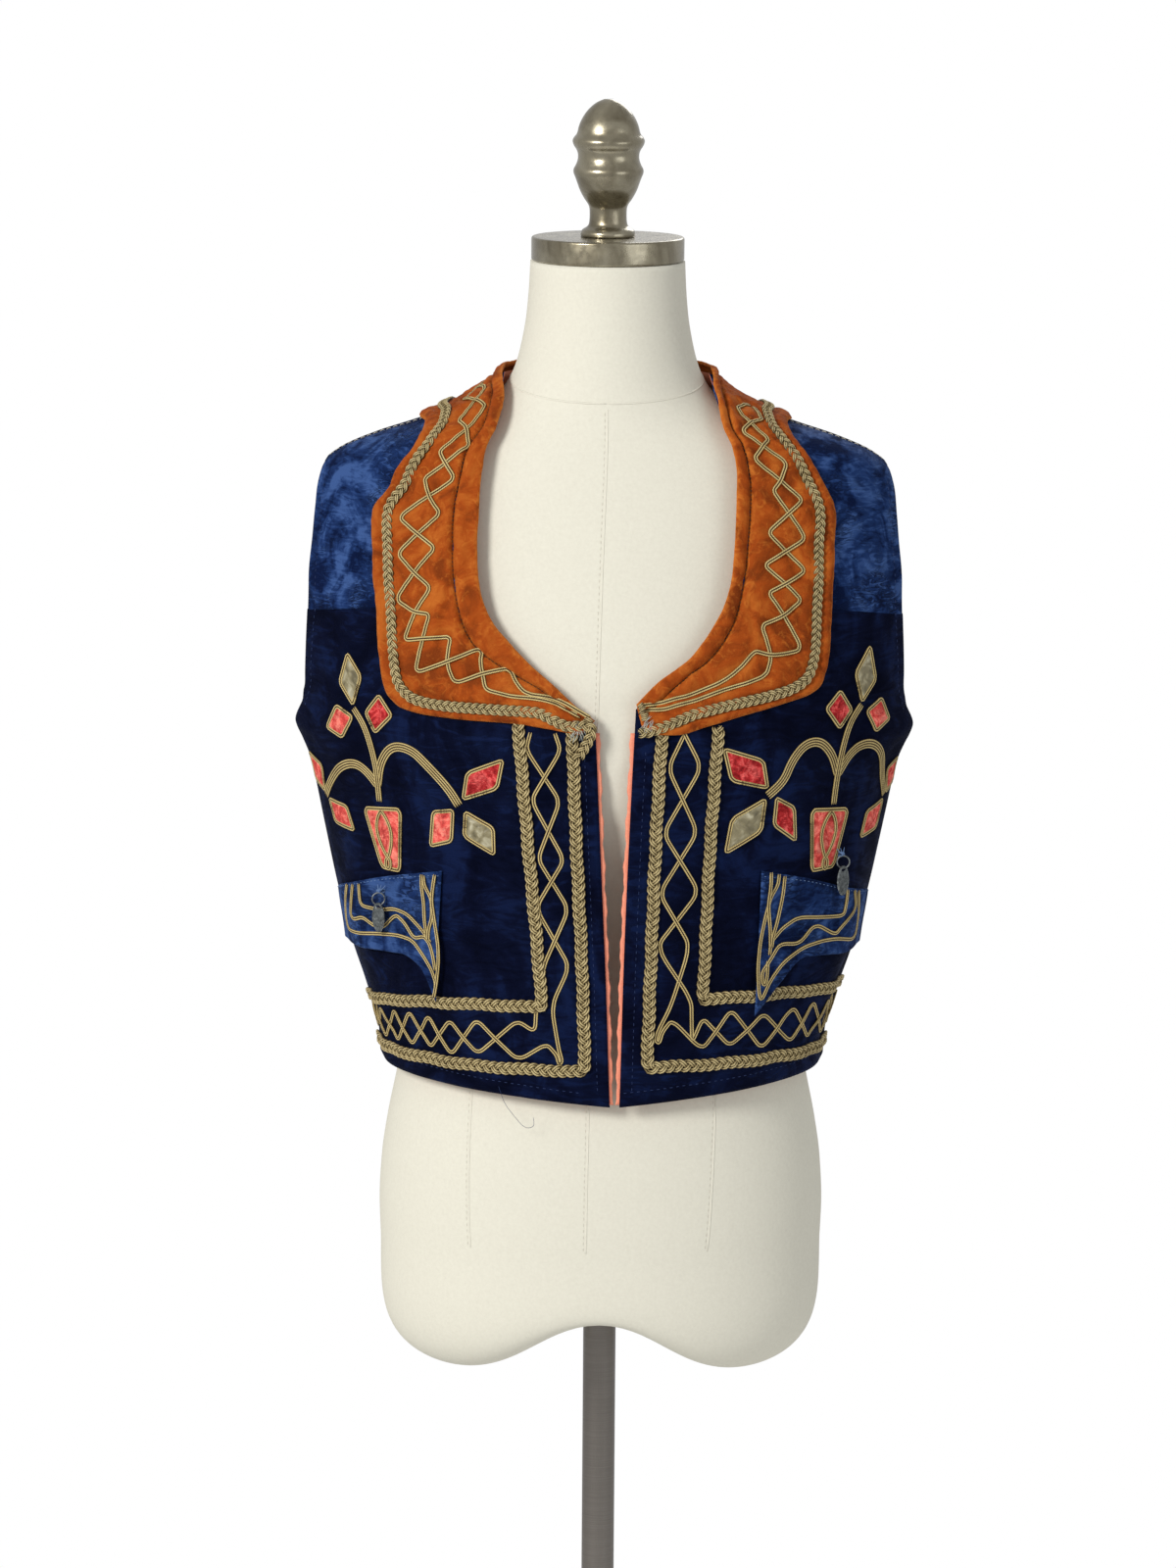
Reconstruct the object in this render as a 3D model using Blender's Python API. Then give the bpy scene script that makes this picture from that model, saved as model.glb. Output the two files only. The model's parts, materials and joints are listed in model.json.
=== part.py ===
"""An embroidered velvet folk vest worn open on a limbless dress form with a turned finial, a pole and a
round base. Metres, +Z up. The front faces -Y. "right" and "left" are the wearer's, so right is at -X."""

import math

import bpy
import numpy as np

# Dress form, cap, finial, pole and base
FORM_TURNS = 40
CAP_RADIUS, CAP_BOTTOM, CAP_TOP, CAP_ROUND = 0.0550, 1.5190, 1.5360, 0.0012
POLE_RADIUS, POLE_TOP = 0.0120, 0.8200
SOCKET_RADIUS, SOCKET_TOP = 0.0128, 0.8230
BASE_RADIUS, BASE_THICK, BASE_EDGE = 0.1900, 0.0100, 0.0030
GAP = 0.0003
LOBE_TOP, LOBE_DROP, LOBE_POWER = 0.8000, 0.1000, 4.0
ARCH_RISE, ARCH_HALF = 0.0560, 0.0620

# Cloth: how far each layer's outer face stands off the vest's outer face, and how thick it is
VELVET = 0.0022
COLLAR_OUT, COLLAR_THICK = 0.0039, 0.0022
BRAID_OUT, BRAID_THICK = 0.0024, 0.0014
TOP_BRAID_OUT = 0.0061
PATCH_OUT, PATCH_THICK = 0.0021, 0.0009
LINING_OUT, LINING_THICK = -0.0028, 0.0012
FLAP_OUT, FLAP_LIFT, FLAP_THICK = 0.0028, 0.0022, 0.0018
BAND_SHARE, SEAM_SHARE = 0.235, 0.015
NECK_PULL, SEAM_AT = 0.0040, 0.508
SEAM_GAP = 0.0003
BRAID_WIDTH, COLLAR_BRAID_WIDTH, COLLAR_BRAID_INSET = 0.0105, 0.0086, 0.0135
LINING_SHOWS, LINING_HIDDEN = 0.0028, 0.0100

# Where the panels end: heights, and turns round from the centre front (1 at the side, 2 at the centre back)
HEM_FRONT, HEM_SIDE = 0.9235, 0.9370
SIDE_SEAM_FRONT, SIDE_SEAM_BACK = 1.0180, 1.0225
FRONT_POINT_SHARE, FRONT_POINT_DROP = 0.80, 0.0030
YOKE_ARMHOLE_TURN, YOKE_ARMHOLE_HEIGHT = 0.8885, 1.2680
SHOULDER_FRONT, SHOULDER_BACK = 1.3780, 1.3785
NECK_POINT_ROW = 14.76
BACK_NECK_TURN, BACK_NECK_HEIGHT, BACK_NECK_CENTRE, BACK_NECK_SHARE = 1.012, 1.4375, 1.4335, 0.36
COLLAR_STEPS, COLLAR_END = 42, 0.9985
COLLAR_BRAID_START, COLLAR_BRAID_STEPS, COLLAR_BRAID_END = 0.03, 48, 0.998
LINING_FOOT, LINING_TOP = 0.9250, 1.1960

# Charms: wire ring and oval plate
RING_RADIUS, RING_WIRE, RING_ANGLE = 0.0045, 0.0005, 47.0
PLATE_HALF_WIDTH, PLATE_HALF_HEIGHT, PLATE_THICK = 0.0059, 0.0109, 0.0010
HOLE_HALF_WIDTH, HOLE_HALF_HEIGHT, HOLE_RIM = 0.0022, 0.0015, 0.0009

# The vest's outer face, ring by ring
# height, half width, front depth, back depth, squareness
VEST_RINGS = (
    (0.900, 0.1630, 0.1235, 0.1275, 2.05),
    (0.925, 0.1625, 0.1235, 0.1255, 2.05),
    (0.955, 0.1640, 0.1245, 0.1210, 2.05),
    (0.990, 0.1740, 0.1260, 0.1165, 2.00),
    (1.020, 0.1840, 0.1270, 0.1145, 1.95),
    (1.065, 0.1950, 0.1280, 0.1130, 1.90),
    (1.105, 0.2030, 0.1290, 0.1130, 1.88),
    (1.145, 0.2110, 0.1300, 0.1140, 1.86),
    (1.180, 0.2190, 0.1300, 0.1155, 1.85),
    (1.215, 0.2225, 0.1270, 0.1165, 1.86),
    (1.250, 0.2240, 0.1205, 0.1165, 1.88),
    (1.290, 0.2240, 0.1110, 0.1145, 1.90),
    (1.325, 0.2200, 0.1015, 0.1105, 1.93),
    (1.352, 0.2150, 0.0935, 0.1055, 1.95),
    (1.370, 0.2070, 0.0885, 0.1010, 1.98),
    (1.382, 0.1930, 0.0855, 0.0965, 2.00),
    (1.393, 0.1680, 0.0825, 0.0920, 2.00),
    (1.404, 0.1340, 0.0790, 0.0880, 2.00),
    (1.418, 0.1010, 0.0750, 0.0835, 2.00),
    (1.431, 0.0815, 0.0715, 0.0800, 2.00),
    (1.444, 0.0722, 0.0690, 0.0770, 2.00),
    (1.460, 0.0695, 0.0675, 0.0750, 2.00),
)

# The form under it, ring by ring from the hips up
# height, half width, front depth, back depth, squareness
FORM_RINGS = (
    (0.800, 0.1618, 0.1090, 0.1190, 2.15),
    (0.830, 0.1628, 0.1100, 0.1240, 2.15),
    (0.860, 0.1612, 0.1100, 0.1240, 2.15),
    (0.890, 0.1570, 0.1090, 0.1180, 2.12),
    (0.920, 0.1510, 0.1060, 0.1100, 2.10),
    (0.960, 0.1430, 0.1000, 0.0980, 2.10),
    (1.000, 0.1340, 0.0940, 0.0900, 2.10),
    (1.035, 0.1300, 0.0920, 0.0880, 2.10),
    (1.070, 0.1320, 0.0980, 0.0890, 2.10),
    (1.110, 0.1400, 0.1090, 0.0930, 2.10),
    (1.150, 0.1500, 0.1180, 0.0980, 2.10),
    (1.185, 0.1590, 0.1215, 0.1020, 2.08),
    (1.220, 0.1660, 0.1185, 0.1040, 2.05),
    (1.255, 0.1710, 0.1105, 0.1055, 2.05),
    (1.290, 0.1750, 0.1010, 0.1045, 2.02),
    (1.325, 0.1760, 0.0920, 0.1010, 2.00),
    (1.350, 0.1720, 0.0850, 0.0960, 2.00),
    (1.370, 0.1620, 0.0795, 0.0910, 2.00),
    (1.386, 0.1450, 0.0750, 0.0860, 2.00),
    (1.400, 0.1180, 0.0700, 0.0810, 2.00),
    (1.414, 0.0910, 0.0655, 0.0755, 2.00),
    (1.428, 0.0738, 0.0620, 0.0710, 2.00),
    (1.444, 0.0658, 0.0595, 0.0675, 2.00),
    (1.462, 0.0612, 0.0575, 0.0630, 2.00),
    (1.480, 0.0582, 0.0560, 0.0590, 2.00),
    (1.500, 0.0565, 0.0550, 0.0568, 2.00),
    (1.5185, 0.0556, 0.0546, 0.0556, 2.00),
)

# Finial, turned: height, radius
FINIAL_PROFILE = (
    (1.5363, 0.0195),
    (1.5390, 0.0198),
    (1.5412, 0.0185),
    (1.5430, 0.0150),
    (1.5455, 0.0134),
    (1.5555, 0.0132),
    (1.5590, 0.0142),
    (1.5630, 0.0172),
    (1.5690, 0.0205),
    (1.5745, 0.0224),
    (1.5785, 0.0238),
    (1.5815, 0.0252),
    (1.5845, 0.0252),
    (1.5875, 0.0232),
    (1.5925, 0.0217),
    (1.5975, 0.0224),
    (1.6010, 0.0250),
    (1.6045, 0.0262),
    (1.6070, 0.0250),
    (1.6095, 0.0226),
    (1.6150, 0.0216),
    (1.6210, 0.0190),
    (1.6270, 0.0148),
    (1.6320, 0.0090),
    (1.6342, 0.0035),
)

# Folds of the cloth: side (-1 right, 1 left, 0 both), turn, height, half width, half height, lift
FOLDS = (
    (0, 0.97, 1.186, 0.026, 0.017, 0.0055),
    (-1, 0.86, 1.160, 0.022, 0.022, -0.0022),
    (1, 0.90, 1.158, 0.018, 0.016, -0.0030),
    (0, 0.70, 1.205, 0.018, 0.060, -0.0014),
    (-1, 0.56, 1.000, 0.014, 0.060, -0.0016),
    (1, 0.60, 1.015, 0.014, 0.055, -0.0018),
    (0, 0.78, 1.030, 0.016, 0.070, 0.0020),
    (0, 0.93, 1.010, 0.018, 0.080, -0.0024),
    (0, 0.30, 1.060, 0.020, 0.110, -0.0010),
    (0, 1.16, 1.020, 0.020, 0.090, 0.0026),
    (0, 1.33, 1.000, 0.018, 0.100, -0.0022),
    (0, 1.58, 1.010, 0.020, 0.110, 0.0020),
    (0, 1.82, 0.990, 0.022, 0.120, -0.0014),
    (0, 1.30, 1.240, 0.030, 0.050, 0.0016),
    (0, 0.62, 1.375, 0.030, 0.014, -0.0012),
)

# Each front's free edge: height, right front's distance from the centre, left front's
FRONT_EDGES = (
    (0.9000, 0.0072, 0.0122),
    (0.9230, 0.0062, 0.0130),
    (1.0180, 0.0026, 0.0151),
    (1.0890, -0.0008, 0.0173),
    (1.1600, -0.0042, 0.0201),
    (1.2200, -0.0070, 0.0228),
)

# Armhole, seen as a turn at each height: height, front side, back side
ARMHOLE = (
    (1.1780, 1.020, 1.020),
    (1.1840, 0.985, 1.060),
    (1.1960, 0.945, 1.105),
    (1.2180, 0.912, 1.145),
    (1.2480, 0.892, 1.172),
    (1.2800, 0.884, 1.180),
    (1.3100, 0.888, 1.172),
    (1.3400, 0.902, 1.145),
    (1.3600, 0.925, 1.105),
    (1.3720, 0.955, 1.050),
    (1.3790, 1.000, 1.000),
)

# Collar from its front point round to the centre back
# inner edge: turn, height; outer edge: turn, height
COLLAR_RIGHT = (
    (0.023, 1.2050, 0.058, 1.1945),
    (0.079, 1.2165, 0.141, 1.1983),
    (0.129, 1.2290, 0.242, 1.2015),
    (0.179, 1.2400, 0.346, 1.2022),
    (0.218, 1.2497, 0.449, 1.2035),
    (0.252, 1.2590, 0.538, 1.2075),
    (0.284, 1.2680, 0.587, 1.2190),
    (0.313, 1.2800, 0.608, 1.2450),
    (0.333, 1.2950, 0.623, 1.2750),
    (0.350, 1.3220, 0.651, 1.3150),
    (0.358, 1.3500, 0.672, 1.3440),
    (0.374, 1.3760, 0.640, 1.3640),
    (0.440, 1.3980, 0.648, 1.3830),
    (0.580, 1.4200, 0.730, 1.3970),
    (0.780, 1.4345, 0.900, 1.4040),
    (1.050, 1.4420, 1.080, 1.4040),
    (1.400, 1.4420, 1.400, 1.3960),
    (2.000, 1.4380, 2.000, 1.3850),
)
COLLAR_LEFT = (
    (0.081, 1.2165, 0.101, 1.1950),
    (0.111, 1.2250, 0.185, 1.1946),
    (0.143, 1.2330, 0.261, 1.1996),
    (0.186, 1.2410, 0.363, 1.2069),
    (0.220, 1.2480, 0.470, 1.2138),
    (0.252, 1.2580, 0.537, 1.2185),
    (0.282, 1.2690, 0.580, 1.2260),
    (0.310, 1.2820, 0.603, 1.2450),
    (0.333, 1.2985, 0.617, 1.2794),
    (0.356, 1.3300, 0.641, 1.3206),
    (0.372, 1.3560, 0.663, 1.3480),
    (0.401, 1.3800, 0.650, 1.3690),
    (0.480, 1.4010, 0.668, 1.3860),
    (0.640, 1.4205, 0.750, 1.3980),
    (0.820, 1.4345, 0.910, 1.4045),
    (1.050, 1.4420, 1.080, 1.4040),
    (1.400, 1.4420, 1.400, 1.3960),
    (2.000, 1.4380, 2.000, 1.3850),
)

# Braids down each front and along the hem, by distance in from the free edge and by height
# side, from the edge (top), from the edge (foot), hem height, hem height at the side seam, top
BRAIDS = {
    "outer_right": (-1, 0.0167, 0.0167, 0.9505, 0.9490, 1.1915),
    "inner_right": (-1, 0.0553, 0.0463, 0.9965, 0.9800, 1.1985),
    "outer_left": (1, 0.0190, 0.0190, 0.9535, 0.9505, 1.1915),
    "inner_left": (1, 0.0597, 0.0583, 1.0020, 0.9930, 1.1925),
}
HEM_BRAID_END = 0.990

# Pocket flaps: distance from the centre front and height along each edge
# top from inside to outside, then the foot from the tail to the outside
FLAP_RIGHT_TOP = ((0.1181, 1.0917), (0.1619, 1.0834), (0.2050, 1.0725), (0.2330, 1.0650))
FLAP_RIGHT_FOOT = ((0.1235, 0.9941), (0.1375, 1.0193), (0.1535, 1.0270), (0.1878, 1.0262), (0.2400, 1.0240))
FLAP_LEFT_TOP = ((0.1160, 1.0937), (0.1524, 1.0854), (0.1988, 1.0721), (0.2350, 1.0650))
FLAP_LEFT_FOOT = ((0.1120, 0.9870), (0.1345, 1.0108), (0.1562, 1.0262), (0.2073, 1.0240), (0.2410, 1.0235))

# Patches of the flower design: side, root, tip (distance from the centre front, height), half width,
# where it is widest, material
PATCHES = {
    "leaf_top_right": (-1, 0.1905, 1.2040, 0.1950, 1.2370, 0.0072, 0.50, "satin_olive"),
    "bud_out_right": (-1, 0.1990, 1.1965, 0.2180, 1.1860, 0.0088, 0.50, "velvet_coral"),
    "bud_in_right": (-1, 0.1780, 1.2010, 0.1610, 1.1960, 0.0086, 0.50, "velvet_red"),
    "petal_in_right": (-1, 0.1020, 1.1440, 0.0745, 1.1725, 0.0086, 0.55, "velvet_red"),
    "leaf_in_right": (-1, 0.0980, 1.1370, 0.0815, 1.1090, 0.0082, 0.50, "satin_olive"),
    "petal_low_right": (-1, 0.1100, 1.1360, 0.1280, 1.1130, 0.0078, 0.60, "velvet_coral"),
    "petal_out_right": (-1, 0.2330, 1.1360, 0.2560, 1.1620, 0.0080, 0.55, "velvet_coral"),
    "petal_side_right": (-1, 0.2250, 1.1320, 0.1960, 1.1130, 0.0080, 0.55, "velvet_coral"),
    "leaf_top_left": (1, 0.2005, 1.2080, 0.2020, 1.2480, 0.0070, 0.48, "satin_olive"),
    "bud_in_left": (1, 0.1880, 1.2050, 0.1690, 1.2080, 0.0086, 0.50, "velvet_red"),
    "bud_out_left": (1, 0.2060, 1.2020, 0.2260, 1.1960, 0.0088, 0.50, "velvet_coral"),
    "petal_in_left": (1, 0.1180, 1.1540, 0.0890, 1.1800, 0.0090, 0.50, "velvet_red"),
    "petal_low_left": (1, 0.1270, 1.1470, 0.1430, 1.1150, 0.0080, 0.50, "velvet_red"),
    "leaf_in_left": (1, 0.1140, 1.1460, 0.0915, 1.1120, 0.0086, 0.50, "satin_olive"),
    "petal_out_left": (1, 0.2400, 1.1370, 0.2590, 1.1600, 0.0078, 0.55, "velvet_coral"),
    "petal_side_left": (1, 0.2330, 1.1340, 0.2090, 1.1100, 0.0084, 0.60, "velvet_coral"),
}
# Flower pots: side, top, foot (distance from the centre front, height), half width at top and foot
POTS = {
    "pot_right": (-1, 0.1690, 1.1330, 0.1620, 1.0870, 0.0178, 0.0080),
    "pot_left": (1, 0.1740, 1.1345, 0.1690, 1.0885, 0.0182, 0.0100),
}

# Charms: side, distance from the centre front and height of the stitch, how far the ring stands off
CHARMS = {
    "right": (-1, 0.1680, 1.0715, 0.0082),
    "left": (1, 0.1840, 1.0990, 0.0056),
}

# Finish of each material: colour, metallic, roughness
FINISHES = {
    "velvet_navy": ((0.010, 0.016, 0.055), 0.0, 0.80),
    "velvet_blue": ((0.022, 0.045, 0.150), 0.0, 0.75),
    "velvet_orange": ((0.420, 0.110, 0.020), 0.0, 0.80),
    "velvet_coral": ((0.620, 0.090, 0.070), 0.0, 0.75),
    "velvet_red": ((0.380, 0.025, 0.030), 0.0, 0.75),
    "satin_olive": ((0.110, 0.095, 0.050), 0.0, 0.50),
    "lining_coral": ((0.780, 0.260, 0.180), 0.0, 0.60),
    "braid_gold": ((0.330, 0.260, 0.130), 0.0, 0.60),
    "linen_cream": ((0.760, 0.710, 0.620), 0.0, 0.90),
    "bronze_antique": ((0.260, 0.235, 0.180), 1.0, 0.30),
    "steel_dark": ((0.130, 0.120, 0.110), 1.0, 0.35),
    "metal_charm": ((0.200, 0.190, 0.170), 1.0, 0.45),
}

TURN_STEPS = 120
HEIGHT_STEP = 0.002


def clear_scene():
    for obj in list(bpy.data.objects):
        bpy.data.objects.remove(obj, do_unlink=True)


def smooth_curve(x, xs, ys):
    """A curve through the points with no overshoot between them."""
    xs = np.asarray(xs, float)
    ys = np.asarray(ys, float)
    steps = np.diff(xs)
    rises = np.diff(ys) / steps
    slopes = np.zeros_like(ys)
    both = rises[:-1] + rises[1:]
    same = rises[:-1] * rises[1:] > 0
    slopes[1:-1] = np.where(same, 2 * rises[:-1] * rises[1:] / np.where(same, both, 1.0), 0.0)
    slopes[0] = rises[0]
    slopes[-1] = rises[-1]
    x = np.clip(np.asarray(x, float), xs[0], xs[-1])
    i = np.clip(np.searchsorted(xs, x) - 1, 0, len(xs) - 2)
    h = steps[i]
    t = (x - xs[i]) / h
    first = (2 * t**3 - 3 * t**2 + 1) * ys[i] + (t**3 - 2 * t**2 + t) * h * slopes[i]
    second = (3 * t**2 - 2 * t**3) * ys[i + 1] + (t**3 - t**2) * h * slopes[i + 1]
    return first + second


def ring_sizes(rings, height):
    """Half width, front depth, back depth and squareness at a height."""
    table = np.array(rings)
    return [float(smooth_curve(height, table[:, 0], table[:, k])) for k in range(1, 5)]


def half_ring(sizes, angles):
    """Points from the centre front (angle 0) past the side (90 degrees) to the centre back."""
    half_width, front, back, square = sizes
    sines = np.sin(angles)
    cosines = np.cos(angles)
    x = half_width * np.abs(sines) ** (2 / square)
    y = np.where(cosines > 0, -front, back) * np.abs(cosines) ** (2 / square)
    return x, y


def quarter_points(x, y, start, stop):
    """Evenly spaced points of one quarter of a ring, and its length."""
    px = x[start:stop]
    py = y[start:stop]
    lengths = np.concatenate([[0.0], np.cumsum(np.hypot(np.diff(px), np.diff(py)))])
    even = np.linspace(0.0, lengths[-1], TURN_STEPS + 1)
    return np.interp(even, lengths, px), np.interp(even, lengths, py), lengths[-1]


def body_table():
    """The vest's face on a fine grid: rows by height, columns by turn from 0 (front) to 2 (back)."""
    heights = np.arange(VEST_RINGS[0][0], VEST_RINGS[-1][0] + 1e-9, HEIGHT_STEP)
    angles = np.linspace(0.0, math.pi, 1601)
    grid = np.zeros((len(heights), 2 * TURN_STEPS + 1, 3))
    quarters = np.zeros(len(heights))
    for row, height in enumerate(heights):
        x, y = half_ring(ring_sizes(VEST_RINGS, height), angles)
        fx, fy, quarters[row] = quarter_points(x, y, 0, 801)
        bx, by, _ = quarter_points(x, y, 800, 1601)
        grid[row, :, 0] = np.concatenate([fx, bx[1:]])
        grid[row, :, 1] = np.concatenate([fy, by[1:]])
        grid[row, :, 2] = height
    return heights, grid, quarters


HEIGHTS, FACE, QUARTERS = body_table()


def turn_of(distance, height):
    """The turn that lies this far round from the centre front."""
    return np.asarray(distance, float) / np.interp(height, HEIGHTS, QUARTERS)


def on_face(turn, height, side):
    turn = np.asarray(turn, float)
    row = np.clip((np.asarray(height, float) - HEIGHTS[0]) / HEIGHT_STEP, 0, len(HEIGHTS) - 1.001)
    column = np.clip(np.abs(turn) * TURN_STEPS, 0, 2 * TURN_STEPS - 1e-6)
    i = row.astype(int)
    j = column.astype(int)
    u = (row - i)[..., None]
    v = (column - j)[..., None]
    low = (1 - v) * FACE[i, j] + v * FACE[i, j + 1]
    high = (1 - v) * FACE[i + 1, j] + v * FACE[i + 1, j + 1]
    point = (1 - u) * low + u * high
    point[..., 0] *= side * np.where(turn < 0, -1.0, 1.0)
    return point


def unit(vectors):
    return vectors / np.linalg.norm(vectors, axis=-1, keepdims=True)


def outward(turn, height, side):
    around = on_face(turn + 0.02, height, side) - on_face(turn - 0.02, height, side)
    up = on_face(turn, height + 0.004, side) - on_face(turn, height - 0.004, side)
    return unit(side * np.cross(around, up))


def fold_lift(turn, height, side):
    total = np.zeros(np.broadcast(turn, height).shape)
    for fold_side, at_turn, at_height, half_width, half_height, lift in FOLDS:
        if fold_side in (0, side):
            across = (turn - at_turn) * 0.27 / half_width
            along = (height - at_height) / half_height
            total = total + lift * np.exp(-(across**2) - along**2)
    return total


def place(turn, height, side, out):
    """Points standing off the vest's face, with its folds."""
    turn, height = np.broadcast_arrays(np.asarray(turn, float), np.asarray(height, float))
    lift = fold_lift(turn, height, side) + out
    return on_face(turn, height, side) + outward(turn, height, side) * lift[..., None]


def material(name):
    found = bpy.data.materials.get(name)
    if found:
        return found
    colour, metallic, roughness = FINISHES[name]
    made = bpy.data.materials.new(name)
    made.use_nodes = True
    shader = made.node_tree.nodes["Principled BSDF"]
    shader.inputs["Base Color"].default_value = (*colour, 1.0)
    shader.inputs["Metallic"].default_value = metallic
    shader.inputs["Roughness"].default_value = roughness
    return made


def add_object(name, points, faces, finish, smooth=True):
    mesh = bpy.data.meshes.new(name)
    mesh.from_pydata([tuple(map(float, p)) for p in points], [], [tuple(f) for f in faces])
    mesh.update()
    mesh.materials.append(material(finish))
    for polygon in mesh.polygons:
        polygon.use_smooth = smooth
    obj = bpy.data.objects.new(name, mesh)
    bpy.context.scene.collection.objects.link(obj)
    return obj


def closed_volume(points, faces):
    total = 0.0
    for face in faces:
        for k in range(1, len(face) - 1):
            total += np.dot(points[face[0]], np.cross(points[face[k]], points[face[k + 1]]))
    return total


def wall(name, outer, inner, finish):
    """A closed cloth wall between two grids of points."""
    rows, columns = outer.shape[:2]
    points = np.concatenate([outer.reshape(-1, 3), inner.reshape(-1, 3)])
    back = rows * columns
    faces = []
    for i in range(rows - 1):
        for j in range(columns - 1):
            a = i * columns + j
            b = a + 1
            c = a + columns + 1
            d = a + columns
            faces.append((a, b, c, d))
            faces.append((back + d, back + c, back + b, back + a))
    rim = [j for j in range(columns)]
    rim += [i * columns + columns - 1 for i in range(1, rows)]
    rim += [(rows - 1) * columns + j for j in range(columns - 2, -1, -1)]
    rim += [i * columns for i in range(rows - 2, 0, -1)]
    for k, a in enumerate(rim):
        b = rim[(k + 1) % len(rim)]
        faces.append((b, a, back + a, back + b))
    if closed_volume(points, faces) < 0:
        faces = [tuple(reversed(face)) for face in faces]
    return add_object(name, points, faces, finish)


def cloth(name, turn, height, side, out, thick, finish):
    """A wall of cloth over a grid of turns and heights."""
    return wall(name, place(turn, height, side, out), place(turn, height, side, out - thick), finish)


def edge_turn(height, side):
    """The turn of a front's free edge."""
    table = np.array(FRONT_EDGES)
    column = 1 if side < 0 else 2
    sign = -1.0 if side < 0 else 1.0
    distance = smooth_curve(height, table[:, 0], table[:, column])
    return turn_of(distance * sign, height)


def collar_rows(side):
    return np.array(COLLAR_RIGHT if side < 0 else COLLAR_LEFT)


def collar_lines(side, count, first=0.0, last=1.0):
    """Inner and outer edge of the collar at even steps, as turns and heights."""
    rows = collar_rows(side)
    inner = on_face(rows[:, 0], rows[:, 1], side)
    outer = on_face(rows[:, 2], rows[:, 3], side)
    middle = (inner + outer) / 2
    lengths = np.concatenate([[0.0], np.cumsum(np.linalg.norm(np.diff(middle, axis=0), axis=1))])
    lengths /= lengths[-1]
    at = np.linspace(first, last, count)
    return [smooth_curve(at, lengths, rows[:, k]) for k in range(4)]


def collar_grid(side, shares, count, first=0.0, last=1.0):
    """Turns and heights over the collar. A share is 0 on the inner edge and 1 on the outer edge."""
    in_turn, in_height, out_turn, out_height = collar_lines(side, count, first, last)
    shares = np.broadcast_to(np.asarray(shares, float), (count, np.shape(shares)[-1]))
    turn = in_turn[:, None] + shares * (out_turn - in_turn)[:, None]
    height = in_height[:, None] + shares * (out_height - in_height)[:, None]
    return turn, height


def collar_widths(side, count, first=0.0, last=1.0):
    in_turn, in_height, out_turn, out_height = collar_lines(side, count, first, last)
    return np.linalg.norm(on_face(in_turn, in_height, side) - on_face(out_turn, out_height, side), axis=1)


def yoke_seam(share, side):
    """The seam between a front and its yoke, as turns and heights."""
    neck_turn, neck_height = neckline(np.array([SEAM_AT]), side, NECK_PULL)
    turn = neck_turn[0] + (YOKE_ARMHOLE_TURN - neck_turn[0]) * share
    return turn, neck_height[0] + (YOKE_ARMHOLE_HEIGHT - neck_height[0]) * share**1.1


def neckline(share, side, pull):
    """The neckline from the front point to the neck point of the shoulder, as turns and heights."""
    rows = collar_rows(side)
    lengths = np.arange(len(rows), dtype=float)
    at = NECK_POINT_ROW * share
    turn = smooth_curve(at, lengths, rows[:, 0])
    height = smooth_curve(at, lengths, rows[:, 1])
    to_turn = smooth_curve(at, lengths, rows[:, 2])
    to_height = smooth_curve(at, lengths, rows[:, 3])
    width = np.linalg.norm(on_face(turn, height, side) - on_face(to_turn, to_height, side), axis=-1)
    share_in = pull / width
    return turn + (to_turn - turn) * share_in, height + (to_height - height) * share_in


def armhole_turn(height, column):
    table = np.array(ARMHOLE)
    return smooth_curve(height, table[:, 0], table[:, column])


def build_front(name, side):
    """A lower front: from its free edge and neckline to the side seam and the armhole."""
    rows = 21
    columns = 14
    share = np.linspace(0.0, 1.0, rows)
    top_turn, top_height = yoke_seam(np.linspace(0.0, 1.0, columns), side)
    top_height = top_height - SEAM_GAP
    point_height = collar_rows(side)[0, 1] - FRONT_POINT_DROP
    turn_in = np.zeros(rows)
    height_in = np.zeros(rows)
    for k, part in enumerate(share):
        if part <= FRONT_POINT_SHARE:
            height_in[k] = HEM_FRONT + (point_height - HEM_FRONT) * part / FRONT_POINT_SHARE
            turn_in[k] = edge_turn(height_in[k], side)
        else:
            along = (part - FRONT_POINT_SHARE) / (1 - FRONT_POINT_SHARE)
            neck_turn, neck_height = neckline(np.array([SEAM_AT * along]), side, NECK_PULL)
            turn_in[k] = neck_turn[0]
            height_in[k] = neck_height[0]
    turn_in[-1] = top_turn[0]
    height_in[-1] = top_height[0]
    height_out = HEM_SIDE + (top_height[-1] - HEM_SIDE) * share
    turn_out = np.where(height_out < ARMHOLE[0][0], SIDE_SEAM_FRONT, armhole_turn(height_out, 1))
    across = np.linspace(0.0, 1.0, columns)[None, :]
    bow = 1 - (1 - across) ** 1.6
    turn = turn_in[:, None] + (turn_out - turn_in)[:, None] * across
    height = height_in[:, None] + (height_out - height_in)[:, None] * bow
    blend = np.clip((share - 0.70) / 0.30, 0, 1)[:, None] ** 1.5
    turn = turn * (1 - blend) + blend * (turn - turn[-1:] + top_turn[None, :])
    height = height + blend * (top_height[None, :] - height[-1:])
    return cloth(name, turn, height, side, 0.0, VELVET, "velvet_navy")


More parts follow.
